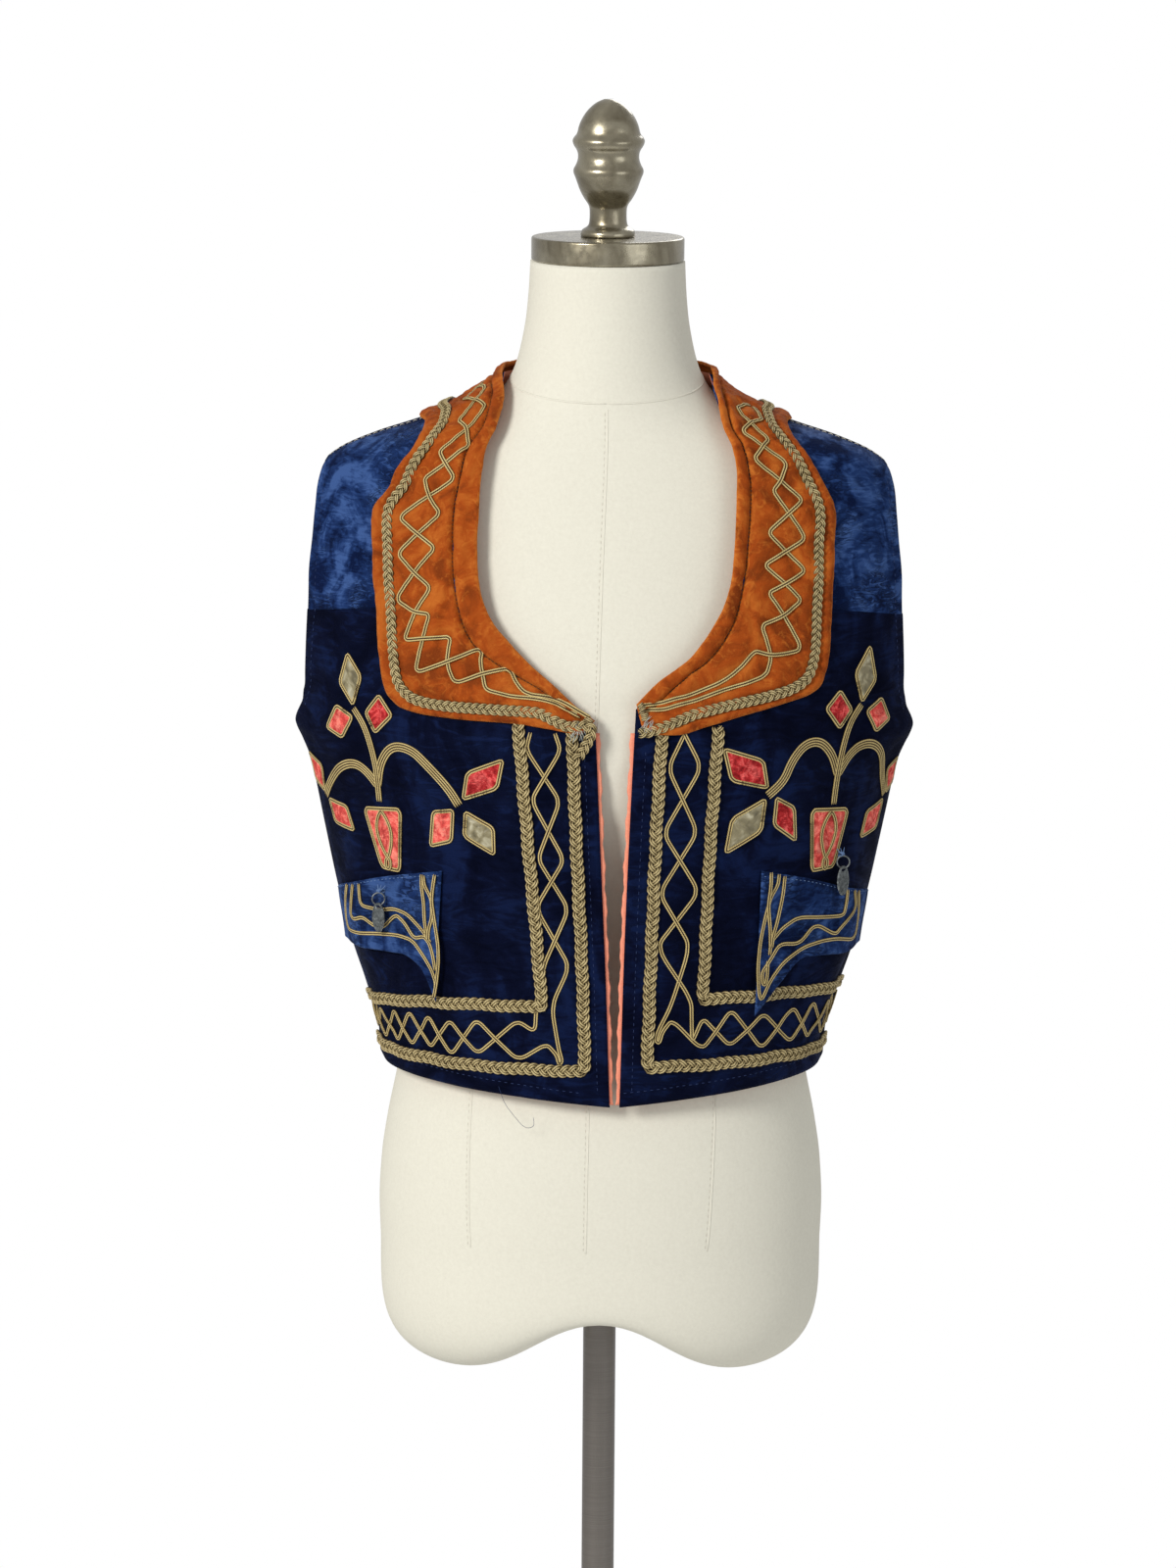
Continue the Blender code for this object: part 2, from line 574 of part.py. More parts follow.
def build_yoke(name, side):
    """A shoulder yoke: from the seam across the chest up to the shoulder seam."""
    columns = 9
    share = np.concatenate([np.linspace(0.0, 0.6, 6), np.linspace(0.6, 1.0, 8)[1:]])
    across = np.linspace(0.0, 1.0, columns)
    low_turn, low_height = yoke_seam(across, side)
    low_height = low_height + SEAM_GAP
    left_turn, left_height = neckline(SEAM_AT + (1 - SEAM_AT) * share, side, NECK_PULL)
    left_height[0] = low_height[0]
    right_height = low_height[-1] + (SHOULDER_FRONT - low_height[-1]) * share
    right_turn = armhole_turn(right_height, 1)
    top_turn = left_turn[-1] + (right_turn[-1] - left_turn[-1]) * across
    top_height = left_height[-1] + (right_height[-1] - left_height[-1]) * across
    turn, height = patch(
        (low_turn, low_height),
        (top_turn, top_height),
        (left_turn, left_height),
        (right_turn, right_height),
        share,
        across,
    )
    return cloth(name, turn, height, side, 0.0, VELVET, "velvet_blue")


def patch(foot, top, first, last, up, across):
    """Fills the space between four edges, each given as turns and heights."""
    result = []
    up = up[:, None]
    across = across[None, :]
    for k in range(2):
        a = (1 - up) * foot[k][None, :] + up * top[k][None, :]
        b = (1 - across) * first[k][:, None] + across * last[k][:, None]
        low = (1 - across) * foot[k][0] + across * foot[k][-1]
        high = (1 - across) * top[k][0] + across * top[k][-1]
        result.append(a + b - (1 - up) * low - up * high)
    return result


def build_back(name):
    """The back in one piece, from side seam to side seam, with its armholes and back neck."""
    half = 12
    share = np.concatenate([np.linspace(0.0, 0.80, 12), np.linspace(0.80, 1.0, 12)[1:]])
    rows = len(share)
    across = np.linspace(0.0, 1.0, half)
    side_height = HEM_SIDE + (SHOULDER_BACK - HEM_SIDE) * share
    side_turn = np.where(side_height < ARMHOLE[0][0], SIDE_SEAM_BACK, armhole_turn(side_height, 2))
    side_turn[-1] = BACK_NECK_TURN
    top_turn = np.interp(across, [0.0, BACK_NECK_SHARE, 1.0], [2.0, BACK_NECK_TURN, side_turn[-1]])
    top_height = np.interp(
        across, [0.0, BACK_NECK_SHARE, 1.0], [BACK_NECK_CENTRE, BACK_NECK_HEIGHT, side_height[-1]]
    )
    foot_turn = 2.0 + (side_turn[0] - 2.0) * across
    foot_height = np.full(half, HEM_SIDE)
    centre_turn = np.full(rows, 2.0)
    centre_height = HEM_SIDE + (BACK_NECK_CENTRE - HEM_SIDE) * share
    turn, height = patch(
        (foot_turn, foot_height),
        (top_turn, top_height),
        (centre_turn, centre_height),
        (side_turn, side_height),
        share,
        across,
    )
    walls = []
    for out in (0.0, -VELVET):
        one = place(turn, height, -1, out)
        other = place(turn, height, 1, out)
        walls.append(np.concatenate([one[:, :0:-1], other], axis=1))
    return wall(name, walls[0], walls[1], "velvet_navy")


def build_collar(name, side):
    shares = BAND_SHARE + SEAM_SHARE + (1 - BAND_SHARE - SEAM_SHARE) * np.linspace(0, 1, 5)
    turn, height = collar_grid(side, shares, COLLAR_STEPS, 0.0, COLLAR_END)
    return cloth(name, turn, height, side, COLLAR_OUT, COLLAR_THICK, "velvet_orange")


def build_neck_band(name, side):
    shares = BAND_SHARE * np.linspace(0, 1, 2)
    turn, height = collar_grid(side, shares, COLLAR_STEPS, 0.0, COLLAR_END)
    return cloth(name, turn, height, side, COLLAR_OUT, COLLAR_THICK, "velvet_orange")


def build_collar_braid(name, side):
    span = (COLLAR_BRAID_STEPS, COLLAR_BRAID_START, COLLAR_BRAID_END)
    widths = collar_widths(side, *span)
    middle = 1 - COLLAR_BRAID_INSET / widths
    middle = np.maximum(middle, 0.40)
    half = COLLAR_BRAID_WIDTH / 2 / widths
    shares = np.stack([middle - half, middle + half], axis=1)
    turn, height = collar_grid(side, shares, *span)
    return cloth(name, turn, height, side, TOP_BRAID_OUT, BRAID_THICK, "braid_gold")


def offset_line(line, distance):
    """A line moved sideways, its corners kept square."""
    line = np.asarray(line, float)
    steps = unit(np.diff(line, axis=0))
    normals = np.stack([-steps[:, 1], steps[:, 0]], axis=1)
    before = np.concatenate([normals[:1], normals])
    after = np.concatenate([normals, normals[-1:]])
    middle = unit(before + after)
    reach = np.maximum(np.sum(middle * before, axis=1), 0.5)
    return line + middle * (distance / reach)[:, None]


def strip(name, line, half_widths, side, out, thick, finish):
    """A flat strip along a line given by distance from the centre front and height."""
    half_widths = np.broadcast_to(np.asarray(half_widths, float), (len(line),))
    edges = [offset_line(line, half_widths), offset_line(line, -half_widths)]
    distance = np.stack([edge[:, 0] for edge in edges], axis=1)
    height = np.stack([edge[:, 1] for edge in edges], axis=1)
    return cloth(name, turn_of(distance, height), height, side, out, thick, finish)


def build_braid(name, row):
    """A braid down the front and along the hem to the side seam."""
    side, from_edge, from_edge_foot, hem, hem_end, top = row
    heights = np.linspace(top, hem, 15)
    edge = edge_turn(heights, side) * np.interp(heights, HEIGHTS, QUARTERS)
    inset = np.linspace(from_edge, from_edge_foot, 15)
    down = np.stack([edge + inset, heights], axis=1)
    end = HEM_BRAID_END * float(np.interp(hem_end, HEIGHTS, QUARTERS))
    along = np.linspace(0.0, 1.0, 14)[1:]
    start = down[-1, 0]
    across = np.stack([start + (end - start) * along, hem + (hem_end - hem) * along**2], axis=1)
    line = np.concatenate([down, across])
    return strip(name, line, BRAID_WIDTH / 2, side, BRAID_OUT, BRAID_THICK, "braid_gold")


def build_lining(name, side):
    """The lining's edge, where it shows past a front's free edge."""
    heights = np.linspace(LINING_FOOT, LINING_TOP, 16)
    edge = edge_turn(heights, side)
    quarter = np.interp(heights, HEIGHTS, QUARTERS)
    turn = np.stack([edge - LINING_SHOWS / quarter, edge + LINING_HIDDEN / quarter], axis=1)
    height = np.stack([heights, heights], axis=1)
    return cloth(name, turn, height, side, LINING_OUT, LINING_THICK, "lining_coral")


def build_flap(name, side, top, foot):
    """A pocket flap, sewn along its top and standing off a little at its foot."""
    columns = 10
    rows = 7
    top = np.array(top)
    foot = np.array(foot)
    across = np.linspace(0.0, 1.0, columns)
    top_x = top[0, 0] + (top[-1, 0] - top[0, 0]) * across
    top_z = smooth_curve(top_x, top[:, 0], top[:, 1])
    foot_x = foot[0, 0] + (foot[-1, 0] - foot[0, 0]) * across
    foot_z = smooth_curve(foot_x, foot[:, 0], foot[:, 1])
    down = np.linspace(0.0, 1.0, rows)[:, None]
    distance = top_x + (foot_x - top_x) * down
    height = top_z + (foot_z - top_z) * down
    out = FLAP_OUT + FLAP_LIFT * down * np.ones_like(distance)
    turn = turn_of(distance, height)
    outer = place(turn, height, side, out)
    inner = place(turn, height, side, out - FLAP_THICK)
    return wall(name, outer, inner, "velvet_blue")


def build_patch(name, row):
    """A leaf or petal of cloth."""
    side, root_x, root_z, tip_x, tip_z, half_width, widest, finish = row
    along = np.linspace(0.0, 1.0, 7)
    line = np.stack([root_x + (tip_x - root_x) * along, root_z + (tip_z - root_z) * along], axis=1)
    swell = np.where(along < widest, along / widest, (1 - along) / (1 - widest))
    widths = half_width * (0.06 + 0.94 * swell**0.85)
    return strip(name, line, widths, side, PATCH_OUT, PATCH_THICK, finish)


def build_pot(name, row):
    side, top_x, top_z, foot_x, foot_z, half_top, half_foot = row
    along = np.linspace(0.0, 1.0, 5)
    across = np.linspace(-1.0, 1.0, 5)[None, :]
    middle_x = (top_x + (foot_x - top_x) * along)[:, None]
    middle_z = (top_z + (foot_z - top_z) * along)[:, None]
    half = (half_top + (half_foot - half_top) * along)[:, None]
    distance = middle_x + half * across
    height = middle_z + 0.0 * across
    return cloth(
        name, turn_of(distance, height), height, side, PATCH_OUT, PATCH_THICK, "velvet_coral"
    )


def turned(name, profile, finish, segments=48):
    """A solid of revolution about Z from (height, radius) rows, closed at both ends."""
    rows = len(profile)
    points = []
    for height, radius in profile:
        for k in range(segments):
            angle = 2 * math.pi * k / segments
            points.append((radius * math.cos(angle), radius * math.sin(angle), height))
    faces = []
    for i in range(rows - 1):
        for k in range(segments):
            n = (k + 1) % segments
            faces.append((i * segments + k, i * segments + n, (i + 1) * segments + n, (i + 1) * segments + k))
    points.append((0.0, 0.0, profile[0][0]))
    points.append((0.0, 0.0, profile[-1][0]))
    foot = len(points) - 2
    for k in range(segments):
        n = (k + 1) % segments
        faces.append((foot, n, k))
        faces.append((foot + 1, (rows - 1) * segments + k, (rows - 1) * segments + n))
    points = np.array(points)
    if closed_volume(points, faces) < 0:
        faces = [tuple(reversed(face)) for face in faces]
    obj = add_object(name, points, faces, finish)
    for polygon in obj.data.polygons:
        if abs(polygon.normal.z) > 0.9999:
            polygon.use_smooth = False
    return obj


def form_ring(sizes, height):
    angles = np.linspace(0.0, 2 * math.pi, FORM_TURNS, endpoint=False)
    half_width, front, back, square = sizes
    sines = np.sin(angles)
    cosines = np.cos(angles)
    x = half_width * np.sign(sines) * np.abs(sines) ** (2 / square)
    y = np.where(cosines > 0, -front, back) * np.abs(cosines) ** (2 / square)
    return np.stack([x, y, np.full(FORM_TURNS, height)], axis=1)


def build_form():
    """The torso: two rounded lobes at the foot, hips, waist, bust, shoulders and neck."""
    rings = []
    low_sizes = ring_sizes(FORM_RINGS, LOBE_TOP)
    for reach in (0.10, 0.24, 0.40, 0.55, 0.68, 0.79, 0.88, 0.94, 0.98):
        drop = (1 - reach**LOBE_POWER) ** (1 / LOBE_POWER)
        ring = form_ring(low_sizes, 0.0)
        ring[:, :2] *= reach
        rise = ARCH_RISE * np.exp(-((ring[:, 0] / ARCH_HALF) ** 2)) * drop**2
        ring[:, 2] = LOBE_TOP - LOBE_DROP * drop + rise
        rings.append(ring)
    for height in np.concatenate([np.linspace(0.800, 1.340, 19), np.linspace(1.355, 1.450, 9)]):
        rings.append(form_ring(ring_sizes(FORM_RINGS, height), height))
    for height in (1.466, 1.482, 1.500, 1.5185):
        rings.append(form_ring(ring_sizes(FORM_RINGS, height), height))
    count = len(rings)
    points = list(np.concatenate(rings))
    faces = []
    for i in range(count - 1):
        for k in range(FORM_TURNS):
            n = (k + 1) % FORM_TURNS
            a = i * FORM_TURNS
            faces.append((a + k, a + n, a + FORM_TURNS + n, a + FORM_TURNS + k))
    points.append(np.array([0.0, 0.0, LOBE_TOP - LOBE_DROP + ARCH_RISE]))
    points.append(np.array([0.0, 0.0, FORM_RINGS[-1][0]]))
    foot = len(points) - 2
    for k in range(FORM_TURNS):
        n = (k + 1) % FORM_TURNS
        faces.append((foot, n, k))
        faces.append((foot + 1, (count - 1) * FORM_TURNS + k, (count - 1) * FORM_TURNS + n))
    points = np.array(points)
    if closed_volume(points, faces) < 0:
        faces = [tuple(reversed(face)) for face in faces]
    form = add_object("form_body", points, faces, "linen_cream")
    socket = turned("socket_cutter", ((0.700, SOCKET_RADIUS), (SOCKET_TOP, SOCKET_RADIUS)), "linen_cream", 32)
    socket.hide_render = True
    socket.display_type = "WIRE"
    cut = form.modifiers.new("socket", "BOOLEAN")
    cut.operation = "DIFFERENCE"
    cut.solver = "EXACT"
    cut.object = socket
    return form


def torus_points(centre, across, up, around, section):
    """Points of a round wire bent into a circle in the plane of across and up."""
    normal = np.cross(across, up)
    rings = []
    for k in range(around):
        angle = 2 * math.pi * k / around
        outward_line = across * math.cos(angle) + up * math.sin(angle)
        for m in range(section):
            turn = 2 * math.pi * m / section
            reach = RING_RADIUS + RING_WIRE * math.cos(turn)
            rings.append(centre + outward_line * reach + normal * RING_WIRE * math.sin(turn))
    return np.array(rings)


def build_wire_ring(name, stitch, across, up):
    """A wire ring hanging from the stitch, which is its origin."""
    around = 20
    section = 6
    points = torus_points(-up * RING_RADIUS, across, up, around, section)
    faces = []
    for i in range(around):
        for m in range(section):
            a = i * section + m
            b = i * section + (m + 1) % section
            c = ((i + 1) % around) * section + (m + 1) % section
            d = ((i + 1) % around) * section + m
            faces.append((a, b, c, d))
    if closed_volume(points, faces) < 0:
        faces = [tuple(reversed(face)) for face in faces]
    ring = add_object(name, points, faces, "metal_charm")
    ring.location = stitch
    return ring


def build_plate(name, pivot, across, up):
    """An oval plate pierced near its top for the ring. Its origin is where it hangs on the wire."""
    hole_z = PLATE_HALF_HEIGHT - HOLE_RIM - HOLE_HALF_HEIGHT
    plate = prism("plate", oval(0.0, PLATE_HALF_WIDTH, PLATE_HALF_HEIGHT, 32), PLATE_THICK)
    hole = prism("hole", oval(hole_z, HOLE_HALF_WIDTH, HOLE_HALF_HEIGHT, 16), PLATE_THICK * 4)
    obj = solid_of(name, plate, ((hole, "DIFFERENCE"),), "metal_charm")
    frame = np.stack([across, np.cross(up, across), up], axis=1)
    drop = up * (HOLE_RIM - PLATE_HALF_HEIGHT + RING_WIRE + GAP)
    for vertex in obj.data.vertices:
        vertex.co = frame @ np.array(vertex.co) + drop
    obj.data.update()
    obj.location = pivot
    return obj


def oval(z, half_width, half_height, count):
    steps = [2 * math.pi * k / count for k in range(count)]
    return [(half_width * math.cos(a), z + half_height * math.sin(a)) for a in steps]


def prism(name, outline, thick):
    """An upright plate: outline in X and Z, thickness along Y."""
    count = len(outline)
    points = [(x, -thick / 2, z) for x, z in outline]
    points += [(x, thick / 2, z) for x, z in outline]
    faces = [tuple(range(count)), tuple(range(2 * count - 1, count - 1, -1))]
    for k in range(count):
        n = (k + 1) % count
        faces.append((n, k, count + k, count + n))
    points = np.array(points)
    if closed_volume(points, faces) < 0:
        faces = [tuple(reversed(face)) for face in faces]
    return add_object(name, points, faces, "metal_charm")


def solid_of(name, base, tools, finish):
    """Applies Booleans and keeps one plain mesh."""
    for tool, operation in tools:
        step = base.modifiers.new(operation, "BOOLEAN")
        step.operation = operation
        step.solver = "EXACT"
        step.object = tool
    graph = bpy.context.evaluated_depsgraph_get()
    mesh = bpy.data.meshes.new_from_object(base.evaluated_get(graph))
    for tool, _ in tools:
        bpy.data.objects.remove(tool, do_unlink=True)
    bpy.data.objects.remove(base, do_unlink=True)
    mesh.materials.clear()
    mesh.materials.append(material(finish))
    obj = bpy.data.objects.new(name, mesh)
    bpy.context.scene.collection.objects.link(obj)
    return obj


def build_charm(name, row):
    """A wire ring held at a stitch, and an oval plate hanging from it, upright and clear of the cloth."""
    side, distance, height, stand_off = row
    turn = turn_of(np.array([distance]), np.array([height]))
    stitch = place(turn, np.array([height]), side, stand_off)[0]
    facing = outward(turn, np.array([height]), side)[0]
    facing[2] = 0.0
    facing = unit(facing)
    up = np.array([0.0, 0.0, 1.0])
    across = np.cross(facing, up)
    angle = math.radians(RING_ANGLE)
    wire_line = across * math.cos(angle) - side * facing * math.sin(angle)
    build_wire_ring("charm_ring_" + name, stitch, wire_line, up)
    build_plate("charm_plate_" + name, stitch - 2 * RING_RADIUS * up, across, up)


def build_stand():
    """Cap and finial above, pole and base below."""
    turned(
        "neck_cap",
        (
            (CAP_BOTTOM, CAP_RADIUS - CAP_ROUND),
            (CAP_BOTTOM + CAP_ROUND, CAP_RADIUS),
            (CAP_TOP - CAP_ROUND, CAP_RADIUS),
            (CAP_TOP, CAP_RADIUS - CAP_ROUND),
        ),
        "bronze_antique",
    )
    turned("finial", FINIAL_PROFILE, "bronze_antique", 40)
    turned("pole", ((BASE_THICK + GAP, POLE_RADIUS), (POLE_TOP, POLE_RADIUS)), "steel_dark", 40)
    turned(
        "base_disc",
        (
            (0.0, BASE_RADIUS - 0.001),
            (0.001, BASE_RADIUS),
            (BASE_THICK - BASE_EDGE, BASE_RADIUS),
            (BASE_THICK - 0.0009, BASE_RADIUS - 0.0009),
            (BASE_THICK, BASE_RADIUS - BASE_EDGE),
        ),
        "steel_dark",
        64,
    )


def main():
    clear_scene()
    build_form()
    build_stand()
    build_back("back")
    for side, word in ((-1, "right"), (1, "left")):
        build_front("front_" + word, side)
        build_yoke("yoke_" + word, side)
        build_collar("collar_" + word, side)
        build_neck_band("neck_band_" + word, side)
        build_collar_braid("collar_braid_" + word, side)
        build_lining("lining_edge_" + word, side)
    build_flap("flap_right", -1, FLAP_RIGHT_TOP, FLAP_RIGHT_FOOT)
    build_flap("flap_left", 1, FLAP_LEFT_TOP, FLAP_LEFT_FOOT)
    for name, row in BRAIDS.items():
        build_braid("braid_" + name, row)
    for name, row in PATCHES.items():
        build_patch(name, row)
    for name, row in POTS.items():
        build_pot(name, row)
    for name, row in CHARMS.items():
        build_charm(name, row)


main()
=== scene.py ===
"""Looks of an embroidered velvet folk vest on a dress form. Metres, +Z up, the front faces -Y. "right" and
"left" are the wearer's, so right is at -X. A point on the vest is a turn (0 at the centre front, 1 at the
side, 2 at the centre back) and a height, and stands off the vest's face by a distance called out."""

import json
import math

import bpy
import numpy as np
from mathutils import Matrix, Vector


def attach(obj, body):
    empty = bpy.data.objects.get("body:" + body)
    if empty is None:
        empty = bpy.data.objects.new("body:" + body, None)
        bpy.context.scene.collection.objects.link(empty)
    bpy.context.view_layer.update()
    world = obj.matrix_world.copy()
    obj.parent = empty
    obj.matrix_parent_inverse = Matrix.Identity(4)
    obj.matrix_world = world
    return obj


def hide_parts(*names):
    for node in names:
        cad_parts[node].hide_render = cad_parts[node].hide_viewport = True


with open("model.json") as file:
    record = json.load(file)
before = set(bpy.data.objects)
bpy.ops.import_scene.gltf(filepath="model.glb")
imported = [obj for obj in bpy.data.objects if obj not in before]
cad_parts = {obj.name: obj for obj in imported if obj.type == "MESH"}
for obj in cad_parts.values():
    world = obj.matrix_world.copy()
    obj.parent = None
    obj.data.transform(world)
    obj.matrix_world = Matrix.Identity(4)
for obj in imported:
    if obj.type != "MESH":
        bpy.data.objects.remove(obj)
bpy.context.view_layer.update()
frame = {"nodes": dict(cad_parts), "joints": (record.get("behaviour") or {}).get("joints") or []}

BODY = "form_and_vest"
SIDES = ((-1, "right"), (1, "left"))

# Camera: distance, height aimed at, tilt down and roll in degrees, lens and sideways shift
CAMERA_AWAY, CAMERA_AIM, CAMERA_TILT, CAMERA_ROLL = 4.5, 1.137, 10.0, 0.45
CAMERA_LENS, CAMERA_SHIFT = 141.75, -0.01

# Dress form, cap and finial
FORM_TURNS = 128
CAP_RADIUS, CAP_BOTTOM, CAP_TOP, CAP_ROUND = 0.055, 1.519, 1.536, 0.0016
SOCKET_RADIUS = 0.0135
LOBE_TOP, LOBE_DROP, LOBE_POWER = 0.8, 0.1, 4.0
SOCKET_FOOT = 0.79
# Foot of the form's seams, top of its side seams, half width and rise of a seam and of the neck's seam
SEAM_FOOT, SIDE_SEAM_TOP = 0.812, 1.1
SEAM_RIDGE, NECK_RIDGE = (0.0006, 0.0003), (0.0007, 0.00035)
ARCH_RISE, ARCH_HALF = 0.056, 0.062

# Cloth: how far each layer's outer face stands off the vest's outer face, and how thick it is
VELVET = 0.0022
COLLAR_OUT, COLLAR_THICK = 0.0037, 0.0032
LINING_OUT, LINING_THICK = -0.0024, 0.0012
FLAP_OUT, FLAP_LIFT, FLAP_THICK = 0.0028, 0.0022, 0.002
PATCH_OUT, PATCH_THICK, PATCH_DOME = 0.0012, 0.0016, 0.0009
NECK_PULL, SEAM_AT = 0.004, 0.508
SEAM_LAP = 0.0006
LINING_SHOWS, LINING_HIDDEN = 0.0026, 0.01
COLLAR_BRAID_INSET = 0.0135

# Rounding of the edges of front, yoke and collar, reach of the wear in from the collar's edge, and the
# grids that the pieces are made on
FRONT_ROLL, YOKE_ROLL, COLLAR_ROLL, COLLAR_WORN = 0.0022, 0.0014, 0.003, 0.006
FRONT_GRID, BACK_GRID = (150, 96), (104, 74)
COLLAR_GRID, BAND_GRID = (310, 40), (220, 16)

# Where the panels end: heights, and turns
HEM_FRONT, HEM_SIDE = 0.9235, 0.937
SIDE_SEAM_FRONT, SIDE_SEAM_BACK = 1.0207, 1.0198
FRONT_POINT_SHARE, FRONT_POINT_DROP = 0.8, 0.003
YOKE_ARMHOLE_TURN, YOKE_ARMHOLE_HEIGHT = 0.8885, 1.268
SHOULDER_FRONT, SHOULDER_BACK = 1.378, 1.3785
NECK_POINT_ROW = 14.76
BACK_NECK_TURN, BACK_NECK_HEIGHT, BACK_NECK_CENTRE, BACK_NECK_SHARE = 1.012, 1.4375, 1.4335, 0.36
COLLAR_END = 0.9985
LINING_FOOT, LINING_TOP = 0.925, 1.196

# Cords and braids: a cord is two strands side by side
STRAND_HALF, STRAND_RISE, STRAND_APART = 0.00064, 0.0006, 0.00182
CORD_STEP, CORD_SIDES = 0.0013, 6
CROSS_LIFT = 0.00112
PLAIT_STEP, PLAIT_PITCH, COLLAR_PLAIT_PITCH = 0.0014, 0.018, 0.016
PLAIT_HALF, COLLAR_PLAIT_HALF = (0.0051, 0.0015), (0.0043, 0.0014)
STITCH_HALF = 0.00044
NARROW_HALF, NARROW_APART = 0.00058, 0.0016
LATTICE_HALF, LATTICE_APART = 0.00062, 0.00172
STALK_OUT, STEM_OUT = 0.0003, 0.0007

# Bound ends of the collar's cords
WRAP_HALF, WRAP_APART, WRAP_HUMP = 0.00072, 0.00125, 0.0013
# Stitches: in from the free edge, up from the hem, turn in from the armhole
EDGE_STITCH_IN, HEM_STITCH_UP, ARMHOLE_STITCH_IN = 0.0085, 0.0105, 0.04
# How the hem's curve runs out to the side seam
HEM_BOW = 1.6
# Patch cloth in from its outline and its underside, its cord in from the outline and above the front
PATCH_IN, PATCH_SUNK = 0.001, -0.0003
OUTLINE_CORD_IN, OUTLINE_CORD_OUT = 0.0012, 0.0005
# Middle of the hem's lattice, and how far its cords run on past the last corner
HEM_LATTICE_MIDDLE, HEM_LATTICE_RUN = 0.97, 0.01
# The collar's usual width, to which shares across it are scaled
COLLAR_WIDTH = 0.08

# Charms: wire ring and oval plate
RING_RADIUS, RING_WIRE = 0.0045, 0.00055
PLATE_HALF_WIDTH, PLATE_HALF_HEIGHT, PLATE_THICK = 0.0059, 0.0109, 0.001
HOLE_HALF_WIDTH, HOLE_HALF_HEIGHT, HOLE_RIM = 0.0022, 0.0015, 0.0009
HANG_GAP = 0.0003

# How much painted light a strand gets, from 0 (painted shade) to 1 (painted highlight), where nothing else is
# said
USUAL_STRAND_LIGHT = 0.8
# The weave's threads are counted round a form of this radius
WEAVE_RADIUS = 0.145

# Steps of the table of the vest's face, and the quarter turn that folds are measured against
TURN_STEPS = 120
HEIGHT_STEP = 0.002
FOLD_QUARTER = 0.27

# Studio: world's light on the object, floor, and lights by name, place, aim, size, power, colour
WORLD_STRENGTH = 0.55
FLOOR_RADIUS = 1.6
LIGHTS = (
    ("key", (-2.4, -3.0, 2.9), (0.0, 0.0, 1.15), 1.3, 150.0, (1.0, 0.985, 0.96)),
    ("fill", (2.6, -2.6, 1.7), (0.0, 0.0, 1.15), 2.2, 20.0, (0.94, 0.97, 1.0)),
    ("rim", (0.8, 3.0, 3.0), (0.0, 0.0, 1.3), 1.8, 24.0, (1.0, 1.0, 1.0)),
)

# The vest's outer face, ring by ring
# height, half width, front depth, back depth, squareness
VEST_RINGS = (
    (0.9, 0.163, 0.1235, 0.1275, 2.05),
    (0.925, 0.1625, 0.1235, 0.1255, 2.05),
    (0.955, 0.164, 0.1245, 0.121, 2.05),
    (0.99, 0.174, 0.126, 0.1165, 2.0),
    (1.02, 0.184, 0.127, 0.1145, 1.95),
    (1.065, 0.195, 0.128, 0.113, 1.9),
    (1.105, 0.203, 0.129, 0.113, 1.88),
    (1.145, 0.211, 0.13, 0.114, 1.86),
    (1.18, 0.219, 0.13, 0.1155, 1.85),
    (1.215, 0.2225, 0.127, 0.1165, 1.86),
    (1.25, 0.224, 0.1205, 0.1165, 1.88),
    (1.29, 0.224, 0.111, 0.1145, 1.9),
    (1.325, 0.22, 0.1015, 0.1105, 1.93),
    (1.352, 0.215, 0.0935, 0.1055, 1.95),
    (1.37, 0.207, 0.0885, 0.101, 1.98),
    (1.382, 0.193, 0.0855, 0.0965, 2.0),
    (1.393, 0.168, 0.0825, 0.092, 2.0),
    (1.404, 0.134, 0.079, 0.088, 2.0),
    (1.418, 0.101, 0.075, 0.0835, 2.0),
    (1.431, 0.0815, 0.0715, 0.08, 2.0),
    (1.444, 0.0722, 0.069, 0.077, 2.0),
    (1.46, 0.0695, 0.0675, 0.075, 2.0),
)

# The form under it, ring by ring from the hips up
# height, half width, front depth, back depth, squareness
FORM_RINGS = (
    (0.8, 0.1618, 0.109, 0.119, 2.15),
    (0.83, 0.1628, 0.11, 0.124, 2.15),
    (0.86, 0.1612, 0.11, 0.124, 2.15),
    (0.89, 0.157, 0.109, 0.118, 2.12),
    (0.92, 0.151, 0.106, 0.11, 2.1),
    (0.96, 0.143, 0.1, 0.098, 2.1),
    (1.0, 0.134, 0.094, 0.09, 2.1),
    (1.035, 0.13, 0.092, 0.088, 2.1),
    (1.07, 0.132, 0.098, 0.089, 2.1),
    (1.11, 0.14, 0.109, 0.093, 2.1),
    (1.15, 0.15, 0.118, 0.098, 2.1),
    (1.185, 0.159, 0.1215, 0.102, 2.08),
    (1.22, 0.166, 0.1185, 0.104, 2.05),
    (1.255, 0.171, 0.1105, 0.1055, 2.05),
    (1.29, 0.175, 0.101, 0.1045, 2.02),
    (1.325, 0.176, 0.092, 0.101, 2.0),
    (1.35, 0.172, 0.085, 0.096, 2.0),
    (1.37, 0.162, 0.0795, 0.091, 2.0),
    (1.386, 0.145, 0.075, 0.086, 2.0),
    (1.4, 0.118, 0.07, 0.081, 2.0),
    (1.414, 0.091, 0.0655, 0.0755, 2.0),
    (1.428, 0.0738, 0.062, 0.071, 2.0),
    (1.444, 0.0658, 0.0595, 0.0675, 2.0),
    (1.462, 0.0612, 0.0575, 0.063, 2.0),
    (1.48, 0.0582, 0.056, 0.059, 2.0),
    (1.5, 0.0565, 0.055, 0.0568, 2.0),
    (1.5185, 0.0556, 0.0546, 0.0556, 2.0),
)

